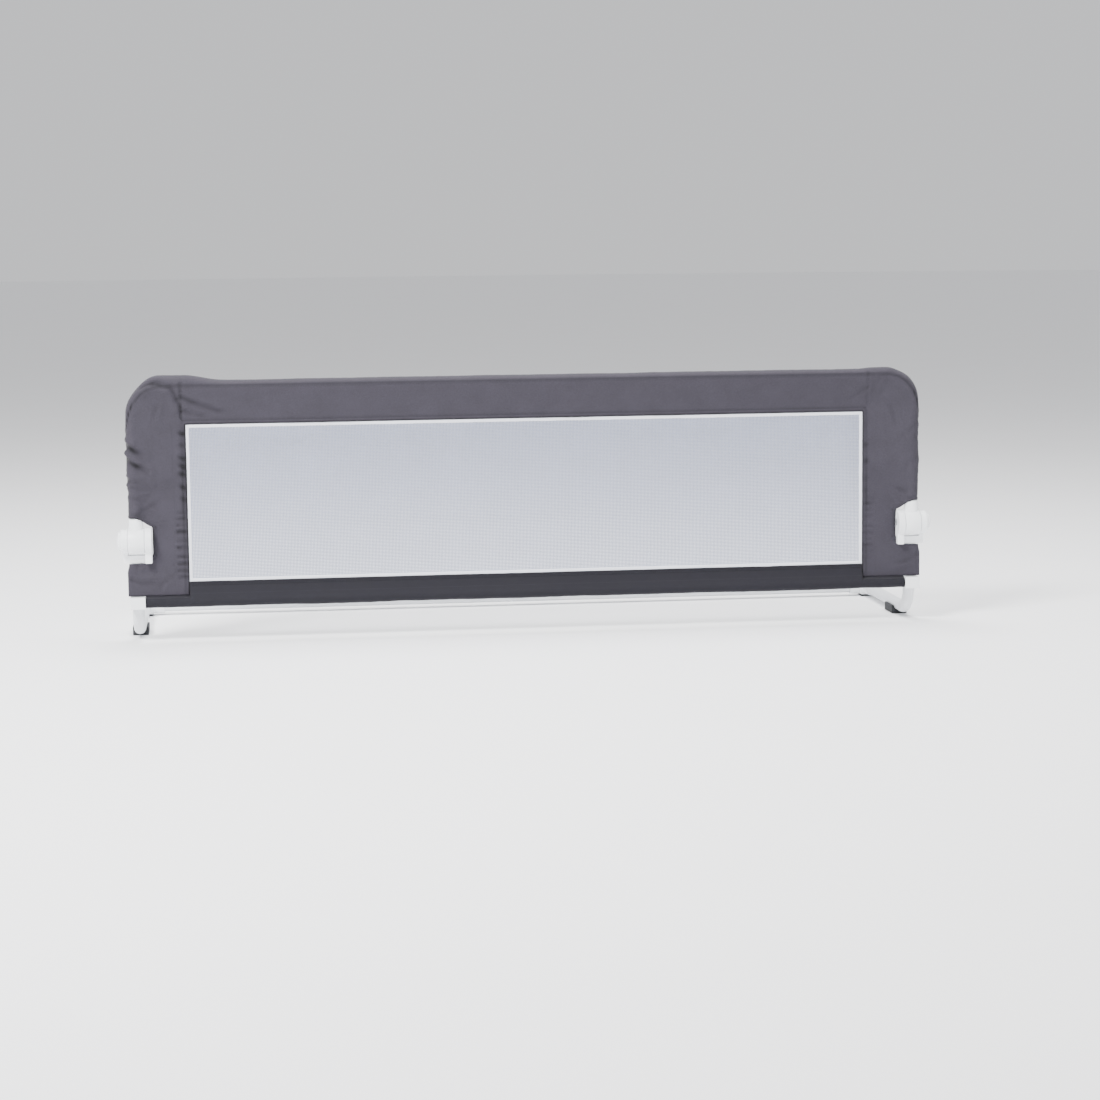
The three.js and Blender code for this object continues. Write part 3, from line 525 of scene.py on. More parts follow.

# %% [markdown]
# ## Folds, puckers and seams
# Sewn cloth is never flat. Threads pull the cloth in along every seam, the elastic strip beside the window
# gathers it into short ridges, and slack cloth in the corners folds. These could be left to a cloth
# simulation, but each one has its place in the photograph, so each is written as a hill or valley on the
# surface and added up. A second sum paints shade into the cloth's colour at the bottom of seams and folds.

# %% Lines on the cloth
def line_distance(x, z, line):
    """Distance to a broken line, and the side: positive to the left of its direction."""
    best, side = np.full(x.shape, 1e9), np.zeros(x.shape)
    for (x0, z0), (x1, z1) in zip(line[:-1], line[1:]):
        dx, dz = x1 - x0, z1 - z0
        t = np.clip(((x - x0) * dx + (z - z0) * dz) / (dx * dx + dz * dz), 0, 1)
        away = np.hypot(x - x0 - t * dx, z - z0 - t * dz)
        turn = np.sign(dx * (z - z0) - dz * (x - x0))
        side = np.where(away < best, turn, side)
        best = np.minimum(best, away)
    return best, side


def smooth_line(points, steps=24):
    """A curve through the points: each span blends them with Catmull-Rom weights."""
    p = np.array([points[0], *points, points[-1]], float)
    t = np.linspace(0, 1, steps, endpoint=False)[:, None]
    spans = [0.5 * (2 * b + (c - a) * t + (2 * a - 5 * b + 4 * c - d) * t ** 2
                    + (3 * b - a - 3 * c + d) * t ** 3)
             for a, b, c, d in zip(p[:-3], p[1:-2], p[2:-1], p[3:])]
    return np.concatenate([*spans, p[-1:]])


def on_the_wrap(angle):
    """Whether a point lies on the wrap, and not on one of the two cloths."""
    return (angle > -0.9) & (angle < 3.9)


# %% Slack cloth and the hem at the window
x, y, z = cover[..., 0], cover[..., 1], cover[..., 2]
away, angle = cover_share[..., 0], cover_share[..., 1]
reach = np.abs(x)
wrapped, on_back = on_the_wrap(angle), angle == BACK_MARK
on_tube = has_tube[:, None] & wrapped
left_half = (x < 0).astype(float)
in_column = ((reach > SEAM_X) & (z < WINDOW_TOP)).astype(float)
raised = np.zeros(x.shape)
# painted shade: how much the cloth's colour is darkened, in seams, folds and along edges
painted_shade = np.zeros(x.shape)

# slow slackness and small wrinkles everywhere, less at the fold and where the band is stretched
calm = 0.25 + 0.75 * step_of(np.abs(z), 8, 45)
taut = 1 - 0.6 * step_of(z, 205, 235) * step_of(600 - reach, 0, 40)
uneven = 0.8 + 0.55 * soft_noise(x / 13 + 5, z / 13, 15)
raised += 1.0 * calm * taut * soft_noise(x / 85 + 7, z / 60 + 3, 11)
raised += 0.5 * calm * taut * soft_noise(x / 26, z / 30, 12)
raised += 0.16 * soft_noise(x / 8, z / 8, 13)
outer_left = left_half * step_of(reach, 690, 715) * step_of(z, 55, 70) * step_of(-z, -150, -125)
raised += 0.8 * outer_left * soft_noise(x / 16, z / 5.5, 16)

# hem at the window: a rolled ridge with a valley behind it, and painted shade along the edge and in the
# valley
raised += hills(away, (1.0, 3.5, 2.6), (-0.7, 9, 2.2))
painted_shade += hills(away, (0.95, 0, 2.8), (0.45, 9, 1.5))

# %% [markdown]
# The strip beside the window is gathered: dents above the hinge, darkened with painted shade, and short sharp
# ridges beside and below it. The two cloths are stitched together here and go in and out as one, past the
# net's edge between them.

# %% Gathered strip: height and size of each dent and ridge, on the left (-1) and on the right (1)
DENTS = {-1: ((197, 0.9), (174, 0.4), (150, 1.5), (136, 1.3), (119, 1.4), (96, 1.0), (74, 0.7)),
         1: ((188, 0.2), (150, 0.5), (118, 0.6), (84, 0.5), (62, 0.3))}
RIDGES = {-1: ((45.6, 1.0), (22, 0.9), (7, 0.3), (-8.1, 1.0), (-25, 0.3), (-38.5, 0.9), (-51, 0.3),
               (-63.5, 0.8)),
          1: ((44, 0.5), (20, 0.4), (-12, 0.5), (-36, 0.4), (-60, 0.5))}

wide, narrow = step_of(-away, -24, -19), step_of(-away, -19, -8)
strip = in_column * wide * step_of(away, 1, 5)
dent_strip = in_column * narrow * step_of(away, 0, 3)
as_one = np.where(on_back, -1, 1) * in_column * step_of(away, 3, 7)
gathered = np.zeros(x.shape)
# painted shade: darker cloth along the left strip's dents, in each dent, and either side of each ridge
painted_shade += 0.16 * (x < 0) * dent_strip * step_of(z, -70, 60) * uneven
for side in (-1, 1):
    mine = (np.sign(x) == side) * uneven
    for at, size in DENTS[side]:
        above = z - at - 0.25 * away
        gathered += mine * as_one * narrow * size * hills(above, (1.6, 10, 5.5), (-2.2, 0, 4.5))
        painted_shade += mine * dent_strip * size * 0.75 * bump_of(above, 5.0)
    for at, size in RIDGES[side]:
        above = z - at + 0.03 * away
        folded = hills(above, (2.4, 0, 2.5), (-1.3, -6, 3.4), (-0.9, 6, 3.4))
        gathered += mine * as_one * wide * size * folded
        painted_shade += mine * strip * size * hills(above, (0.6, -6, 3.2), (0.35, 6, 3.2))
raised -= in_column * 0.4 * bump_of(away - 22, 1.8)

# %% Seams and swelling in the upper corners
# the gusset's seam: on the tube's front along the top, and turned to its outer side on the columns, with
# painted shade in its groove
seam_angle = 0.2 + 1.24 * step_of(TUBE_RISE - stations[:, 3], 20, 95)
seam_at = angle - seam_angle[:, None]
raised += np.where(on_tube, hills(seam_at, (0.8, 0.24, 0.16), (-0.9, 0, 0.1)), 0)
painted_shade += np.where(on_tube, bump_of(seam_at, 0.11), 0)

# upright seams over the window's corners, with painted shade along them, and the doubled cloth that swells
# over the tube there
UPRIGHT_SEAM = 649
upright = reach - UPRIGHT_SEAM
mottled = 0.3 + 1.1 * np.abs(soft_noise(x / 60 + 3, z / 7.5, 17))
over_front = step_of(z, WINDOW_TOP - 4, WINDOW_TOP + 4) * (np.abs(stations[:, 2]) < 700)[:, None]
over_front = over_front * (angle < 0.6) * mottled * (0.4 + 0.6 * left_half)
raised += over_front * hills(upright, (-1.8, 0, 3.0), (0.8, 6, 4))
painted_shade += over_front * 0.5 * bump_of(upright, 3.0)
outer = np.where(wrapped, np.clip(np.sin(np.clip(angle, 0, math.pi)), 0, 1), 0) ** 2
puff = left_half * 9.5 * step_of(reach, 572, 645) * step_of(-reach, -742, -688)
puff += (1 - left_half) * 2.5 * step_of(reach, 628, 658) * step_of(-reach, -712, -688)
raised += step_of(z, 240, 268) * outer * puff

# an arched fold in each corner, with painted shade along its valley: side, strength and places
ARCHES = (
    (-1, 1.15, ((722, 285), (707, 291), (692, 291), (676, 288), (664, 280), (656, 264), (650, 245),
                (648, 222))),
    (1, 0.12, ((718, 284), (700, 289), (684, 286), (669, 274), (658, 256), (651, 238), (648, 222))),
)
for side, strength, arch in ARCHES:
    far, turn = line_distance(x, z, smooth_line([(side * px, pz) for px, pz in arch]))
    within = strength * (angle < 0.9) * uneven * step_of(z, 218, 262)
    within *= 1 - 0.55 * step_of(-z, -282, -262) * (0.5 + 0.5 * soft_noise(x / 40 + 9, z / 6, 18))
    raised += within * (-3.0 * bump_of(far, 4.2) + 2.8 * (turn == side) * bump_of(far - 11, 7.5)
                        + 1.0 * (turn == -side) * bump_of(far - 7, 5))
    painted_shade += within * 0.5 * bump_of(far, 4.0)

# %% Slanting folds where the cloth is pulled: start, middle, end and size
PULLS = (
    ((-646, 266), (-617, 252), (-560, 232), 1.3), ((-644, 240), (-622, 233), (-596, 228), 0.8),
    ((648, 262), (626, 246), (598, 236), 0.4), ((-756, 183), (-744, 174), (-722, 158), 3.2),
    ((-756, 158), (-742, 146), (-714, 128), 3.0), ((-752, 116), (-737, 111), (-717, 108), 1.4),
    ((-690, 262), (-697, 236), (-708, 214), 0.5), ((-741, 100), (-728, 96), (-712, 99), 0.8),
    ((747, 196), (732, 180), (716, 160), 0.4), ((747, 128), (733, 118), (716, 96), 0.5),
    ((-748, 84), (-732, 78), (-714, 76), 0.7), ((-724, 58), (-712, 62), (-694, 74), 0.8),
    ((724, 60), (712, 66), (690, 74), 0.6), ((-750, -72), (-726, -80), (-694, -78), 0.8),
    ((750, -62), (728, -74), (696, -80), 0.7), ((-664, -60), (-690, -80), (-700, -98), 0.6),
    ((-738, -46), (-738.5, -55), (-739, -68), 1.8), ((690, 236), (700, 210), (704, 178), 0.5),
    # gathers round the hinge's neck
    ((-735, 46), (-727, 50), (-717, 53), 1.3), ((-725, 39), (-717, 43), (-708, 45), 1.5),
    ((-717, 31), (-709, 34), (-700, 35), 1.3), ((-707, 24), (-702, 25), (-696, 24), 0.9),
    ((733, 46), (725, 50), (716, 52), 0.8), ((723, 38), (715, 42), (706, 43), 0.8),
    ((715, 31), (707, 33), (699, 33), 0.7),
)
# each fold also gets painted shade along its valley
front_side = ((y < 0.8) & ~on_back).astype(float)
for start, middle, end, size in PULLS:
    far, turn = line_distance(x, z, smooth_line([start, middle, end]))
    soft = front_side * size * uneven * (1 - 0.9 * bump_of(np.hypot(x - end[0], z - end[1]), 14))
    raised += soft * (-1.5 * bump_of(far, 3.8 + 0.6 * size) + 1.8 * (turn > 0) * bump_of(far - 8.5, 5.5))
    painted_shade += soft * 0.33 * bump_of(far, 3.4 + 0.5 * size)

# rings of slack cloth round the side tubes
ring_wave = soft_noise(z / 9 + 11, x / 300, 31) * step_of(z, 50, 80) * (1 - step_of(z, 210, 245))
raised += np.where(on_tube, 0.75 * ring_wave, 0)

# %% Hems along the cut-out and round the sleeve's foot, and the finished surface
cut_edge = stations[:, 2][:, None] * np.sign(x) - reach
near_cut = ~has_tube[:, None] & ~wrapped
raised += np.where(near_cut, hills(cut_edge, (0.5, 2.5, 2.5), (-0.4, 6.5, 1.4)), 0)
# painted shade at the cut edge and in the groove beside it
painted_shade += np.where(near_cut, hills(cut_edge, (0.4, 6.5, 1.2), (0.8, 0, 1.8)), 0)

foot_edge = z - (SLEEVE_FOOT - lowered)
at_foot = on_tube & near_mouth
raised += np.where(at_foot, hills(foot_edge, (0.7, 3, 2.2), (-0.5, 7, 1.8)), 0)
# painted shade at the sleeve's foot and in the groove above it
painted_shade += np.where(at_foot, hills(foot_edge, (0.85, 0, 1.8), (0.35, 7, 1.4)), 0)

# beside the hinge the back cloth moves less and the edge not at all, and the cut-out's foot stays level
thin = np.where(has_tube[:, None], 1.0, np.where(wrapped, 0.0, np.where(on_back, 0.25, 1.0)))
thin *= 1 - bump_of(z - NOTCH_FOOT, 2.5) * (inside < 33)
# neither cloth goes through the net between them, and the wrap is free
NET_ROOM, FREE = 0.8, 99
room = np.where(wrapped, FREE, np.where(on_back, 1, -1) * (y - WEB_MIDDLE)) - NET_ROOM
raised = np.maximum(raised * thin, -np.maximum(room, 0)) + gathered
cover_shape = cover + cover_out * raised[..., None]


# %% Keep the cloth off the tube
def clear_of_tube(shape, rows, angle, gap):
    """Distance to the tube's axis = hypot(offset along the outward direction, y). A point nearer than the
    radius + gap moves out from the axis to that distance. The radius is the tube's or, under the sleeve's
    foot, the neck's. There the front cloth lies a layer over the back cloth, and the edge half a layer."""
    sleeve, side = has_tube[:, None], on_column[:, None]
    axis = np.where(sleeve, rows[:, 2:4], np.stack([RAIL_X * rows[:, 4], rows[:, 3]], -1))
    out = rows[:, None, 4:6]
    offset = ((shape[..., [0, 2]] - axis[:, None]) * out).sum(-1)
    far = np.hypot(offset, shape[..., 1])
    high = shape[..., 2]
    layer = CLOTH_LAYER * np.where(sleeve | (angle == BACK_MARK), 0, np.where(angle == FRONT_MARK, 1.0, 0.5))
    clear = np.where(side & (high < NECK[0][2]), np.interp(high, *NECK), TUBE_RADIUS) + gap + layer
    mind = sleeve | (side & (high > NECK[0][0]))
    grow = np.where(mind, np.maximum(1, clear / np.maximum(far, 1e-6)), 1)
    moved = shape.copy()
    moved[..., 0] += out[..., 0] * offset * (grow - 1)
    moved[..., 2] += out[..., 1] * offset * (grow - 1)
    moved[..., 1] *= grow
    return moved


cover_shape = clear_of_tube(cover_shape, stations, angle, TUBE_GAP)
print("folds stand from", round(float(raised.min()), 2), "to", round(float(raised.max()), 2), "mm")


# %% Make the sleeve's mesh
def cloth_piece(name, shape, faces, run, depth, material):
    """A cloth: the grid with its run as a UV map in metres, its painted shade in seams and folds as an
    attribute, and a wall.
    """
    piece = make_piece(name, in_row(shape), faces, material, closed=False)
    mesh = piece.data
    corner = np.zeros(len(mesh.loops), int)
    mesh.loops.foreach_get("vertex_index", corner)
    layer = mesh.uv_layers.new(name="cloth_run")
    layer.data.foreach_set("uv", (run.reshape(-1, 2)[corner] / 1000).astype(np.float32).ravel())
    seam = mesh.attributes.new("painted_crease_shade", "FLOAT", "POINT")
    seam.data.foreach_set("value", np.clip(depth, 0, 1).astype(np.float32).ravel())
    add_wall(piece, CLOTH_M)
    return piece


def sleeve_run(rows, shape, angle, drop=0.0):
    """Where each point lies on the flat cloth: its x, z on the two cloths, and out by the arc on the wrap."""
    arc = rows[:, 6][:, None] * np.clip(angle, -0.8, 4)
    on_wrap = rows[:, None, 2:4] + rows[:, None, 4:6] * arc[..., None]
    on_wrap[..., 1] -= drop
    return np.where(on_the_wrap(angle)[..., None], on_wrap, shape[..., [0, 2]])


columns = cover_shape.shape[1]
faces = grid_faces(*cover_shape.shape[:2])
row_of, column_of = faces[:, 0] // columns, faces[:, 0] % columns
in_mouth = np.isin(row_of, open_rows) & (column_of >= FRONT) & (column_of < FRONT + WRAP)
faces = faces[~in_mouth]
cover_run = sleeve_run(stations, cover, angle, lowered)
cover_cloth = cloth_piece("cover_sleeve", cover_shape, faces, cover_run, painted_shade, grey_cloth)
print("cover faces", len(faces))

# %% [markdown]
# ## The hem
# Along the foot a second sleeve holds the front bar. It is sewn to the window's lower edge in the middle, and
# to the columns at each end, so its inner edge steps down outside the window.

# %% Hem sleeve
HEM_END = 723.2
BAR_RISE = -116.2
BAR_Y = -5.0
BAR_SLEEVE = 9.5
HEM_FRONT = 14

hem_end_x = np.linspace(SEAM_X + 0.3, HEM_END, 21)
hem_x = np.concatenate([-hem_end_x[::-1], np.linspace(-SEAM_X, SEAM_X, 325), hem_end_x])
hem = np.zeros((len(hem_x), 9))
hem[:, 0] = hem[:, 2] = hem_x
hem[:, 1] = np.where(np.abs(hem_x) > SEAM_X + 0.1, HEM_TOP, WINDOW_FOOT)
hem[:, 3], hem[:, 5], hem[:, 6], hem[:, 7], hem[:, 8] = BAR_RISE, -1, BAR_SLEEVE, BAR_Y, 1.6
hem_grid, hem_out, hem_share = sleeve_grid(hem, HEM_FRONT)
hx, hz = hem_grid[..., 0], hem_grid[..., 2]
hem_raised = 0.7 * soft_noise(hx / 80, hz / 40, 41) + 0.3 * soft_noise(hx / 17, hz / 25, 42)
hem_raised += 0.1 * soft_noise(hx / 6, hz / 6, 43)
in_window = step_of(-np.abs(hx), -SEAM_X - 1, -SEAM_X + 1)
hem_away = hem_share[..., 0]
hem_raised += in_window * hills(hem_away, (0.9, 3.5, 2.4), (-0.6, 8.5, 2.0))
# painted shade at the hem's edge inside the window and in the groove behind it
hem_painted_shade = in_window * hills(hem_away, (0.8, 0, 2.0), (0.4, 8.5, 1.4))
pucker = np.abs(soft_noise(hx / 5.5, hx / 90, 44)) * bump_of(hem_away - 8.5, 5)
hem_raised += 0.7 * in_window * pucker
hem_shape = hem_grid + hem_out * hem_raised[..., None]
hem_faces = grid_faces(*hem_grid.shape[:2])
# the hem takes the darker copy of the cloth, which is painted shade
# walking the foot from left to right turns the grid over, so its faces are turned back
cover_hem = cloth_piece("cover_hem", hem_shape, hem_faces[:, ::-1],
                        sleeve_run(hem, hem_grid, hem_share[..., 1]), hem_painted_shade, painted_shade_cloth)
print("hem faces", len(hem_faces))

# %% Small cloth loops that hold the cover to the legs
LEG_Y = 17.0
LOOP_RADIUS = 14.4
LOOP_LOW, LOOP_HIGH = -103.0, -89.4
LOOP_ROWS, LOOP_SIDES = 7, 48
SIDES = ((-1, "left"), (1, "right"))

loop_pieces = []
for side, word in SIDES:
    turn = full_turn(LOOP_SIDES)[None, :]
    high = np.linspace(LOOP_LOW, LOOP_HIGH, LOOP_ROWS)[:, None]
    radius = LOOP_RADIUS - 0.3 + 0.25 * np.cos(turn * 5 + high / 4)
    level_of = high + 0 * turn
    ring = np.stack([side * RAIL_X + radius * np.cos(turn), LEG_Y + radius * np.sin(turn), level_of], -1)
    run = np.stack([turn * LOOP_RADIUS + 0 * high, level_of], -1)
    quads = grid_faces(LOOP_ROWS, LOOP_SIDES, close_columns=True)
    loop_pieces.append(cloth_piece(f"{word}_leg_loop", ring, quads[:, ::-1], run, np.zeros(ring.shape[:2]),
                                   grey_cloth))

# %% [markdown]
# ## The net
# The window is a knitted net, sewn between the two cloths of the cover. A real net has holes of about one
# millimetre. Here the yarns are drawn 2.7 mm apart, each as a thin four-sided thread, so that the holes are
# real and the light comes through. The net hangs with a little slack.

# %% Net
YARN_PITCH = 2.7
YARN_WIDTH = 1.25
YARN_THICK = 0.5
NET_EDGE = 3.0            # the net goes this far in between the cloths


def net_slack(x, z):
    """How far the net stands behind the fold axis: slow waves that fade out at its edges and at the fold."""
    edge = step_of(SEAM_X - np.abs(x), 0, 90)
    edge = edge * step_of(WINDOW_TOP - z, 0, 50) * step_of(z - WINDOW_FOOT, 0, 40)
    return WEB_MIDDLE + edge * step_of(np.abs(z), 4, 40) * (1.6 * soft_noise(x / 150, z / 110, 51) + 0.8)


def yarns(lines, along, upright):
    """Threads side by side: each is a flat four-sided tube carried along one line of the net."""
    a, b = np.meshgrid(lines, along, indexing="ij")
    x, z = (a, b) if upright else (b, a)
    y = net_slack(x, z) + (-0.12 if upright else 0.12)
    across = np.array([-1, 0, 1, 0]) * YARN_WIDTH / 2
    through = np.array([0, -1, 0, 1]) * YARN_THICK / 2
    shape = np.zeros((*a.shape, 4, 3))
    shape[..., 0] = x[..., None] + (across if upright else 0)
    shape[..., 1] = y[..., None] + through
    shape[..., 2] = z[..., None] + (0 if upright else across)
    count, long = a.shape
    last = 4 * (long - 1)
    ends = [(0, 1, 2, 3), (last + 3, last + 2, last + 1, last)]
    faces = repeated(np.concatenate([grid_faces(long, 4, close_columns=True), ends]), count, long * 4)
    return shape.reshape(-1, 3), faces if upright else faces[:, ::-1]


up_lines = np.arange(-SEAM_X + 1.5, SEAM_X, YARN_PITCH)
up_along = np.concatenate([np.linspace(WINDOW_FOOT - NET_EDGE, -12, 6), np.array([-8, -4, -1.5, 1.5, 4, 8]),
                           np.linspace(12, WINDOW_TOP + NET_EDGE, 9)])
first, last = math.ceil(WINDOW_FOOT / YARN_PITCH), math.floor(WINDOW_TOP / YARN_PITCH)
side_lines = (np.arange(first, last) + 0.5) * YARN_PITCH
side_along = np.linspace(-SEAM_X - NET_EDGE, SEAM_X + NET_EDGE, 33)
net_parts = (yarns(up_lines, up_along, True), yarns(side_lines, side_along, False))
net = make_piece("net_window", *together(net_parts), net_yarn)
print("yarns", len(up_lines), "upright and", len(side_lines), "level;", len(net.data.polygons), "faces")

# %% [markdown]
# The net's edge is bound with a white tape, which shows as a bright line inside the window.

# %% White binding inside the window
TAPE_WIDTH = 6.0
TAPE_Y = 0.8
# the tape in section: how far in from the window's edge, and how far back
TAPE_PROFILE = ((-2.0, 0.6), (0.3, 0.1), (TAPE_WIDTH * 0.5, -0.25), (TAPE_WIDTH - 0.4, 0.0),
                (TAPE_WIDTH, 0.5))
TAPE_M = 0.0005           # thickness, in metres


def tape_ring():
    """A frame of tape: the section carried round the window's rectangle. Its inner side waves a little."""
    left, right, low, high = -SEAM_X, SEAM_X, WINDOW_FOOT, WINDOW_TOP
    sides = [np.linspace(0, 1, n, endpoint=False) for n in (200, 60, 200, 60)]
    corners = np.array([(left, low), (right, low), (right, high), (left, high), (left, low)], float)
    path = np.concatenate([a + (b - a) * s[:, None] for a, b, s in zip(corners[:-1], corners[1:], sides)])
    inward = np.stack([-np.sign(path[:, 0]) * (np.abs(np.abs(path[:, 0]) - SEAM_X) < 1e-6),
                       (path[:, 1] == low).astype(float) - (path[:, 1] == high)], -1)
    wave = 0.35 * soft_noise(path[:, 0] / 9, path[:, 1] / 9, 61)
    rings = []
    for across, back in TAPE_PROFILE:
        flat = path + inward * (across + (wave if across > 4 else 0 * wave))[:, None]
        rings.append(np.stack([flat[:, 0], TAPE_Y + back + 0.3 * wave, flat[:, 1]], -1))
    return np.stack(rings, 1)


tape_grid = tape_ring()
tape = make_piece("net_binding", in_row(tape_grid), grid_faces(*tape_grid.shape[:2], close_rows=True),
                  binding_tape, closed=False)
add_wall(tape, TAPE_M)

# %% [markdown]
# ## Stitches
# Rows of stitches hold the hems and the seams. A bump pattern would do from afar. Up close real stitches
# catch the light and sink the cloth, so each is a small eight-sided grain of thread, laid along its seam
# every few millimetres on the finished cloth.

# %% Stitches along the seams
STITCH_PITCH = 4.2
STITCH_HALF = 1.45
STITCH_WIDE = 0.42
STITCH_HIGH = 0.34
STITCH_SUNK = 0.1
WINDOW_SEAM, STRIP_SEAM = 7.0, 26.5       # from the window's edge to the seams on the sleeve
HEM_SEAMS = ((20, 2.6), (0, 9.5))         # rows left out at both ends, and column on the hem's grid


def surface_at(shape, outward, row, column):
    """Point and outward direction at a place between grid points, blended from the four corners."""
    r = np.clip(row, 0, shape.shape[0] - 1.001)
    c = np.clip(column, 0, shape.shape[1] - 1.001)
    i, j = r.astype(int), c.astype(int)
    s, t = (r - i)[:, None], (c - j)[:, None]
    blend = lambda g: ((g[i, j] * (1 - s) + g[i + 1, j] * s) * (1 - t)
                       + (g[i, j + 1] * (1 - s) + g[i + 1, j + 1] * s) * t)
    return blend(shape), blend(outward)


def stitches_along(shape, outward, row, column):
    """Grains of thread along a seam: places every STITCH_PITCH of length, each with its own direction."""
    path, out = surface_at(shape, outward, np.asarray(row, float), np.asarray(column, float))
    gone = np.concatenate([[0], np.cumsum(np.linalg.norm(np.diff(path, axis=0), axis=1))])
    at = np.arange(STITCH_PITCH, gone[-1] - STITCH_HALF, STITCH_PITCH)
    sample = lambda g, s: np.stack([np.interp(s, gone, g[:, k]) for k in range(3)], -1)
    middle, up = sample(path, at), sample(out, at)
    ahead = sample(path, at + 0.5) - sample(path, at - 0.5)
    ahead /= np.linalg.norm(ahead, axis=1)[:, None] + 1e-9
    up -= ahead * np.einsum("ij,ij->i", up, ahead)[:, None]
    up /= np.linalg.norm(up, axis=1)[:, None] + 1e-9
    beside = np.cross(ahead, up)
    points = np.stack([
        middle - ahead * STITCH_HALF - up * STITCH_SUNK, middle + ahead * STITCH_HALF - up * STITCH_SUNK,
        middle + beside * STITCH_WIDE, middle + up * STITCH_HIGH, middle - beside * STITCH_WIDE,
        middle - up * STITCH_HIGH], 1)
    one = [(0, 3, 2), (0, 4, 3), (0, 5, 4), (0, 2, 5), (1, 2, 3), (1, 3, 4), (1, 4, 5), (1, 5, 2)]
    return points.reshape(-1, 3), repeated(one, len(at), 6)


def column_for(distance):
    """Grid column on the front cloth that lies this far from the window's edge, at every station."""
    return np.array([np.interp(distance, way, np.arange(FRONT)) for way in cover_share[:, :FRONT, 0]])


count = len(stations)
every = np.arange(count)
touch = np.arctan((SLEEVE + 0.5) / np.linalg.norm(stations[:, 2:4] - stations[:, 0:2], axis=1))
beside_seam = FRONT + WRAP * (seam_angle - 0.14 + touch) / (math.pi + 2 * touch)
runs = [(every, column_for(WINDOW_SEAM)), (every[has_tube], beside_seam[has_tube])]
for side_rows in (every[:len(left_side)], every[count - len(right_side):]):
    beside = side_rows[stations[side_rows, 1] < WINDOW_TOP]
    runs.append((beside, column_for(STRIP_SEAM)[beside]))
parts = [stitches_along(cover_shape, cover_out, row, column) for row, column in runs]
for left_out, column in HEM_SEAMS:
    rows = np.arange(left_out, len(hem) - left_out)
    parts.append(stitches_along(hem_shape, hem_out, rows, np.full(len(rows), column)))
stitches = make_piece("cover_stitches", *together(parts), sewing_thread)
print("stitches", len(stitches.data.vertices) // 6)

# %% [markdown]
# ## Tubes
# A bent tube is a ring carried along a path. The outer wall goes out along the path and the bore comes
# back, which closes the surface at both rims. The legs run down from the hinge, round a bend of 45 mm and
# back under the bed, and a tube in two halves joins them at the rear.

# %% A tube along a path
def tube_piece(name, path, radius, bore, material, sides=40):
    """Ring points = place + radius (still cos + cross sin), where still is the way across that stays. The
    radius and the bore are one number or one for each place."""
    path = np.asarray(path, float)
    ahead = np.gradient(path, axis=0)
    ahead /= np.linalg.norm(ahead, axis=1)[:, None]
    still = np.array([1.0, 0, 0]) if np.ptp(path[:, 0]) < 1e-6 else np.array([0, 0, 1.0])
    cross = np.cross(ahead, still)
    cross /= np.linalg.norm(cross, axis=1)[:, None]
    turn = full_turn(sides)[None, :, None]
    circle = still * np.cos(turn) + cross[:, None, :] * np.sin(turn)
    outer, inner = (path[:, None, :] + np.reshape(size, (-1, 1, 1)) * circle for size in (radius, bore))
    shape = np.concatenate([outer, inner[::-1]])
    faces = grid_faces(len(shape), sides, close_rows=True, close_columns=True)
    piece = make_piece(name, in_row(shape), faces, material)
    piece.data.set_sharp_from_angle(angle=math.radians(50))
    return piece


FOLD_HEIGHT = fold_axis[2] * 1000
TUBE_WALL = 1.0
LEG_TOP = -33.3
LEG_LEVEL = 17.5 - FOLD_HEIGHT
LEG_BEND = 45.0
REAR_Y = 350.0
ELBOW_STOP = 12.5         # the tubes end this far from the middle of the elbow
STOP_GAP = 0.3

bend_turn = np.linspace(0, math.pi / 2, 25)
leg_y = np.array([LEG_Y, LEG_Y, *(LEG_Y + LEG_BEND * (1 - np.cos(bend_turn))),
                  REAR_Y - ELBOW_STOP - STOP_GAP])
leg_z = np.array([LEG_TOP, -100, *(LEG_LEVEL + LEG_BEND * (1 - np.sin(bend_turn))), LEG_LEVEL])
leg_tubes = []
for side, word in SIDES:
    path = np.stack([np.full(len(leg_y), side * RAIL_X), leg_y, leg_z], -1)
    leg_tubes.append(tube_piece(f"{word}_leg", path, TUBE_RADIUS, TUBE_RADIUS - TUBE_WALL, powder_coat))

# the rear tube's halves: places along x, outer radius there, and bore. The left one ends in a drawn-in spigot
REAR_END = RAIL_X - ELBOW_STOP - STOP_GAP
REAR_HALVES = (
    ("left", (-REAR_END, -REAR_END + 0.8, -4.4, -0.9, -0.15, 43.5, 44.8),
     (10.4, 11.0, 11.0, 10.6, 9.7, 9.7, 9.2), 8.7),
    ("right", (0.15, 0.75, REAR_END - 0.8, REAR_END), (10.5, 11.0, 11.0, 10.4), 10.0),
)
rear_tubes = []
for word, xs, size, bore in REAR_HALVES:
    path = np.stack([xs, np.full(len(xs), REAR_Y), np.full(len(xs), LEG_LEVEL)], -1)
    rear_tubes.append(tube_piece(f"{word}_rear_bar", path, size, bore, powder_coat))
print("tubes", len(leg_tubes) + len(rear_tubes))


# %% [markdown]
# ## Moulded parts
# The hinges, clamps, elbows, feet and pads are mouldings with small rounded edges. Their solids have the
# right shape, so each is copied, its loose triangles are merged, its flat faces are joined up, and a small
# bevel rounds its edges, as the tool that moulds them would.

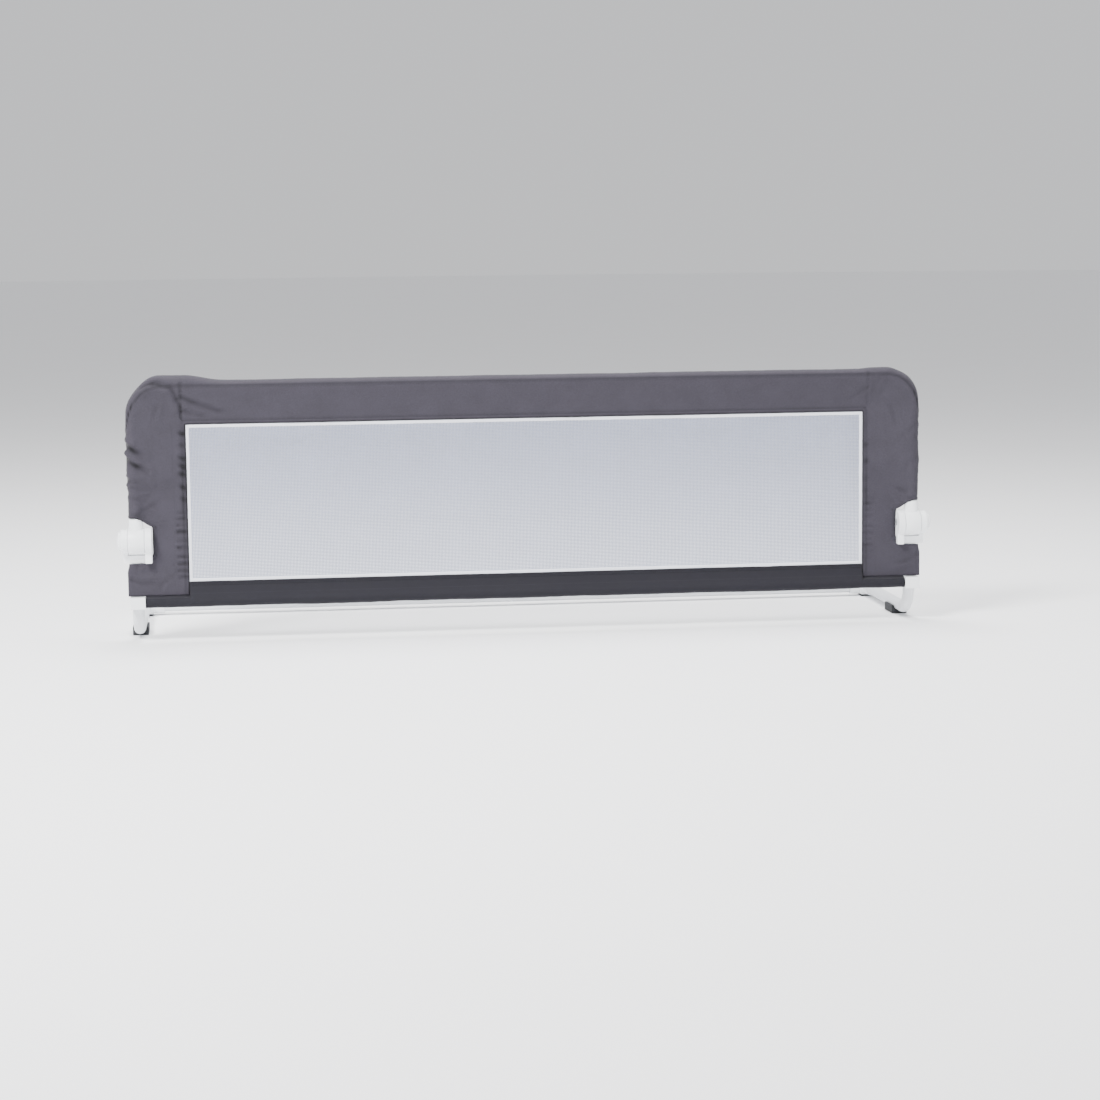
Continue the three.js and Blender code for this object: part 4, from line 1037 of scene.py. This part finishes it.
# %% Rounded copies of the moulded solids
def moulded_copy(node, name, material, edge_mm, rim=None, sharp=34):
    """The node's mesh merged and cleaned, with edges over the sharp angle rounded by edge_mm. The rim of a
    disc on the fold axis, given as (|x|, least distance from the axis, rounding), is rounded more."""
    mesh = frame["nodes"][node].data.copy()
    mesh.name = name
    shape = bmesh.new()
    shape.from_mesh(mesh)
    bmesh.ops.remove_doubles(shape, verts=shape.verts, dist=2e-6)
    bmesh.ops.dissolve_limit(shape, angle_limit=math.radians(0.6), verts=shape.verts, edges=shape.edges)
    weight = shape.edges.layers.float.new("bevel_weight_edge")
    widest = rim[2] if rim else edge_mm
    for edge in shape.edges:
        if not edge_mm or len(edge.link_faces) != 2 or edge.calc_face_angle() < math.radians(sharp):
            continue
        ends = [(vert.co - Vector(fold_axis)) * 1000 for vert in edge.verts]
        on_rim = rim and all(abs(abs(p.x) - rim[0]) < 0.3 and math.hypot(p.y, p.z) > rim[1] and p.z > -22
                             for p in ends)
        edge[weight] = 1.0 if on_rim else edge_mm / widest
    shape.to_mesh(mesh)
    shape.free()
    mesh.materials.clear()
    mesh.materials.append(material)
    mesh.shade_smooth()
    mesh.set_sharp_from_angle(angle=math.radians(sharp))
    piece = linked(name, mesh)
    if edge_mm:
        bevel = piece.modifiers.new("rounded_edges", "BEVEL")
        bevel.width = widest / 1000
        bevel.segments = 5 if rim else 2
        bevel.limit_method = "WEIGHT"
        bevel.harden_normals = True
    return piece


# node, new name, material, rounding in mm, body ("own" is the button's own body) and slot
MOULDED = (
    ("hinge_hub", "hub_moulding", hinge_plastic, 0.8, "upper_frame", "white_plastic"),
    ("hinge_fork", "fork_moulding", hinge_plastic, 0.6, "base", "white_plastic"),
    ("bar_clamp", "clamp_moulding", hinge_plastic, 0.5, "base", "white_plastic"),
    ("rear_elbow", "elbow_moulding", hinge_plastic, 0.8, "base", "white_plastic"),
    ("rubber_foot", "foot_moulding", foot_rubber, 0.6, "base", "black_rubber"),
    ("leg_pad", "pad_moulding", foot_rubber, 0.8, "base", "black_rubber"),
    ("release_button", "push_button", hinge_plastic, 0.4, "own", "white_plastic"),
)
CHEEK_RIM = (708.5, 20.0, 7.0)
for node, name, material, edge, body, slot_name in MOULDED:
    for word in ("left", "right"):
        copy = moulded_copy(f"{word}_{node}", f"{word}_{name}", material, edge,
                            CHEEK_RIM if node == "hinge_fork" else None)
        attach(copy, f"{word}_release" if body == "own" else body)
        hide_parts(f"{word}_{node}")
print("moulded copies", 2 * len(MOULDED))

# %% [markdown]
# ## Springs
# Behind each push button a coil spring is pressed together, and behind each snap button the free arm of a
# bent leaf moves towards the other arm. A stiff copy would let the button cut into its spring. Each spring
# here is such a stiff copy in spring steel, riding on its body.

# %% Stiff copies of the springs
SPRINGS = (
    ("left_lock_spring", "upper_frame", "left_release_push"),
    ("right_lock_spring", "upper_frame", "right_release_push"),
    ("left_top_snap_leaf", "upper_frame", "left_top_snap_push"),
    ("right_top_snap_leaf", "upper_frame", "right_top_snap_push"),
    ("rear_snap_leaf", "base", "rear_snap_push"),
)
for node, body, joint_name in SPRINGS:
    name = node.replace("spring", "coil").replace("snap_leaf", "leaf_strip")
    spring = moulded_copy(node, name, spring_steel, 0)
    bpy.context.view_layer.update()
    points = np.array([spring.matrix_world @ vert.co for vert in spring.data.vertices])
    middle = points.mean(0)
    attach(spring, body)
    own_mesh(spring)
    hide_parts(node)

# %% [markdown]
# ## Finishes for the nodes that stay
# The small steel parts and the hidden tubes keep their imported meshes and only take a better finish.

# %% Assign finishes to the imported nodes: the first word that a name holds gives its finish
NODE_FINISHES = (
    (("corner_tube", "top_tube", "front_bar", "leg_tube", "rear_tube"), powder_coat),
    (("screw", "snap_button"), zinc_plate),
    (("snap_leaf", "lock_spring"), spring_steel),
    (("lock_gear",), hinge_plastic),
    (("pivot",), zinc_plate),
    (("hinge", "release_button", "bar_clamp", "rear_elbow"), hinge_plastic),
    (("rubber_foot", "leg_pad"), foot_rubber),
    (("cover",), grey_cloth),
    (("net",), net_yarn),
)
for node, piece in frame["nodes"].items():
    finish = next(finish for words, finish in NODE_FINISHES if any(word in node for word in words))
    piece.data.materials.clear()
    piece.data.materials.append(finish)

# %% [markdown]
# ## What moves with what
# The cover, the net and the stitches cross the fold axis, where the real cover bends between the base and the
# upper frame; here they are left where they lie, on no body. The other pieces made here ride on one body
# each.

# %% Bodies, baked pieces, and the imported parts that they hide
bpy.context.view_layer.update()
for piece in (cover_cloth, net, tape, stitches):
    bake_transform(piece)
for piece in (cover_hem, *loop_pieces, *leg_tubes, *rear_tubes):
    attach(piece, "base")
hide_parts("cover_top_band", "left_cover_column_upper", "right_cover_column_upper",
            "left_cover_column_lower", "right_cover_column_lower")
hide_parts("cover_bottom_band")
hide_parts("net_upper", "net_lower")
for word, leg, rear in zip(("left", "right"), leg_tubes, rear_tubes):
    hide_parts(f"{word}_leg_tube")
    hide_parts(f"{word}_rear_tube")


# %% [markdown]
# ## Floor and light
# A plain pale floor runs out of sight, and the air above it has the same tone. A large soft lamp from the
# upper left of the camera gives the form, a weaker one fills from the right, and one from above lifts the
# top edges.

# %% Floor: rings of points at growing radius, R s^3, keep its squares small near the rail
FLOOR_RADIUS = 40.0
FLOOR_GAP = 0.0005        # the floor lies just under the feet
RINGS, SPOKES = 24, 96

pale_floor, floor_shader = new_finish("painted_pale_floor")
floor_tone = ranged(pale_floor, noise(pale_floor, object_place(pale_floor), 3.0, 4.0), 0.97, 1.0, 0, 1)
feed(pale_floor, floor_shader, {
    "Base Color": dyed(pale_floor, linear("#f7f7f8")[:3], floor_tone), "Roughness": 0.7})
ring = (np.linspace(0.02, 1, RINGS) ** 3 * FLOOR_RADIUS)[:, None]
turn = full_turn(SPOKES)[None, :]
disc = np.stack([ring * np.cos(turn), ring * np.sin(turn), 0 * ring * turn], -1)
floor_faces = grid_faces(RINGS, SPOKES, close_columns=True).tolist()
floor_faces += [(SPOKES * RINGS, k, (k + 1) % SPOKES) for k in range(SPOKES)]
floor = make_piece("studio_floor", np.concatenate([disc.reshape(-1, 3), [[0, 0, 0]]]), floor_faces,
                   pale_floor, closed=False)
floor.location.z = -FLOOR_GAP
floor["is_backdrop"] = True


# %% Lamps and air
def soft_lamp(name, place, aim, width, height, watts):
    """A rectangular lamp that looks at aim."""
    data = bpy.data.lights.new(name, "AREA")
    data.shape = "RECTANGLE"
    data.size, data.size_y, data.energy = width, height, watts
    lamp = linked(name, data)
    lamp.location = place
    lamp.rotation_euler = (Vector(aim) - Vector(place)).to_track_quat("-Z", "Y").to_euler()


RAIL_MIDDLE = (0, -0.1, 0.25)
soft_lamp("key_lamp", (-2.3, -2.5, 3.3), RAIL_MIDDLE, 1.4, 1.2, 420)
soft_lamp("fill_lamp", (3.4, -2.6, 1.4), RAIL_MIDDLE, 2.6, 1.8, 40)
soft_lamp("top_lamp", (0.3, 0.2, 3.2), (0, -0.1, 0.3), 2.8, 1.2, 200)

air = bpy.data.worlds.new("studio_air")
air.use_nodes = True
air_shader = air.node_tree.nodes["Background"]
air_shader.inputs["Color"].default_value = linear("#f0f1f4")
air_shader.inputs["Strength"].default_value = 0.9
bpy.context.scene.world = air

# %% The dressed box, and finish
dressed_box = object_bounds()
[list(corner) for corner in cad_box]
[list(corner) for corner in dressed_box]
print("dressed box", [tuple(round(c, 4) for c in corner) for corner in dressed_box])
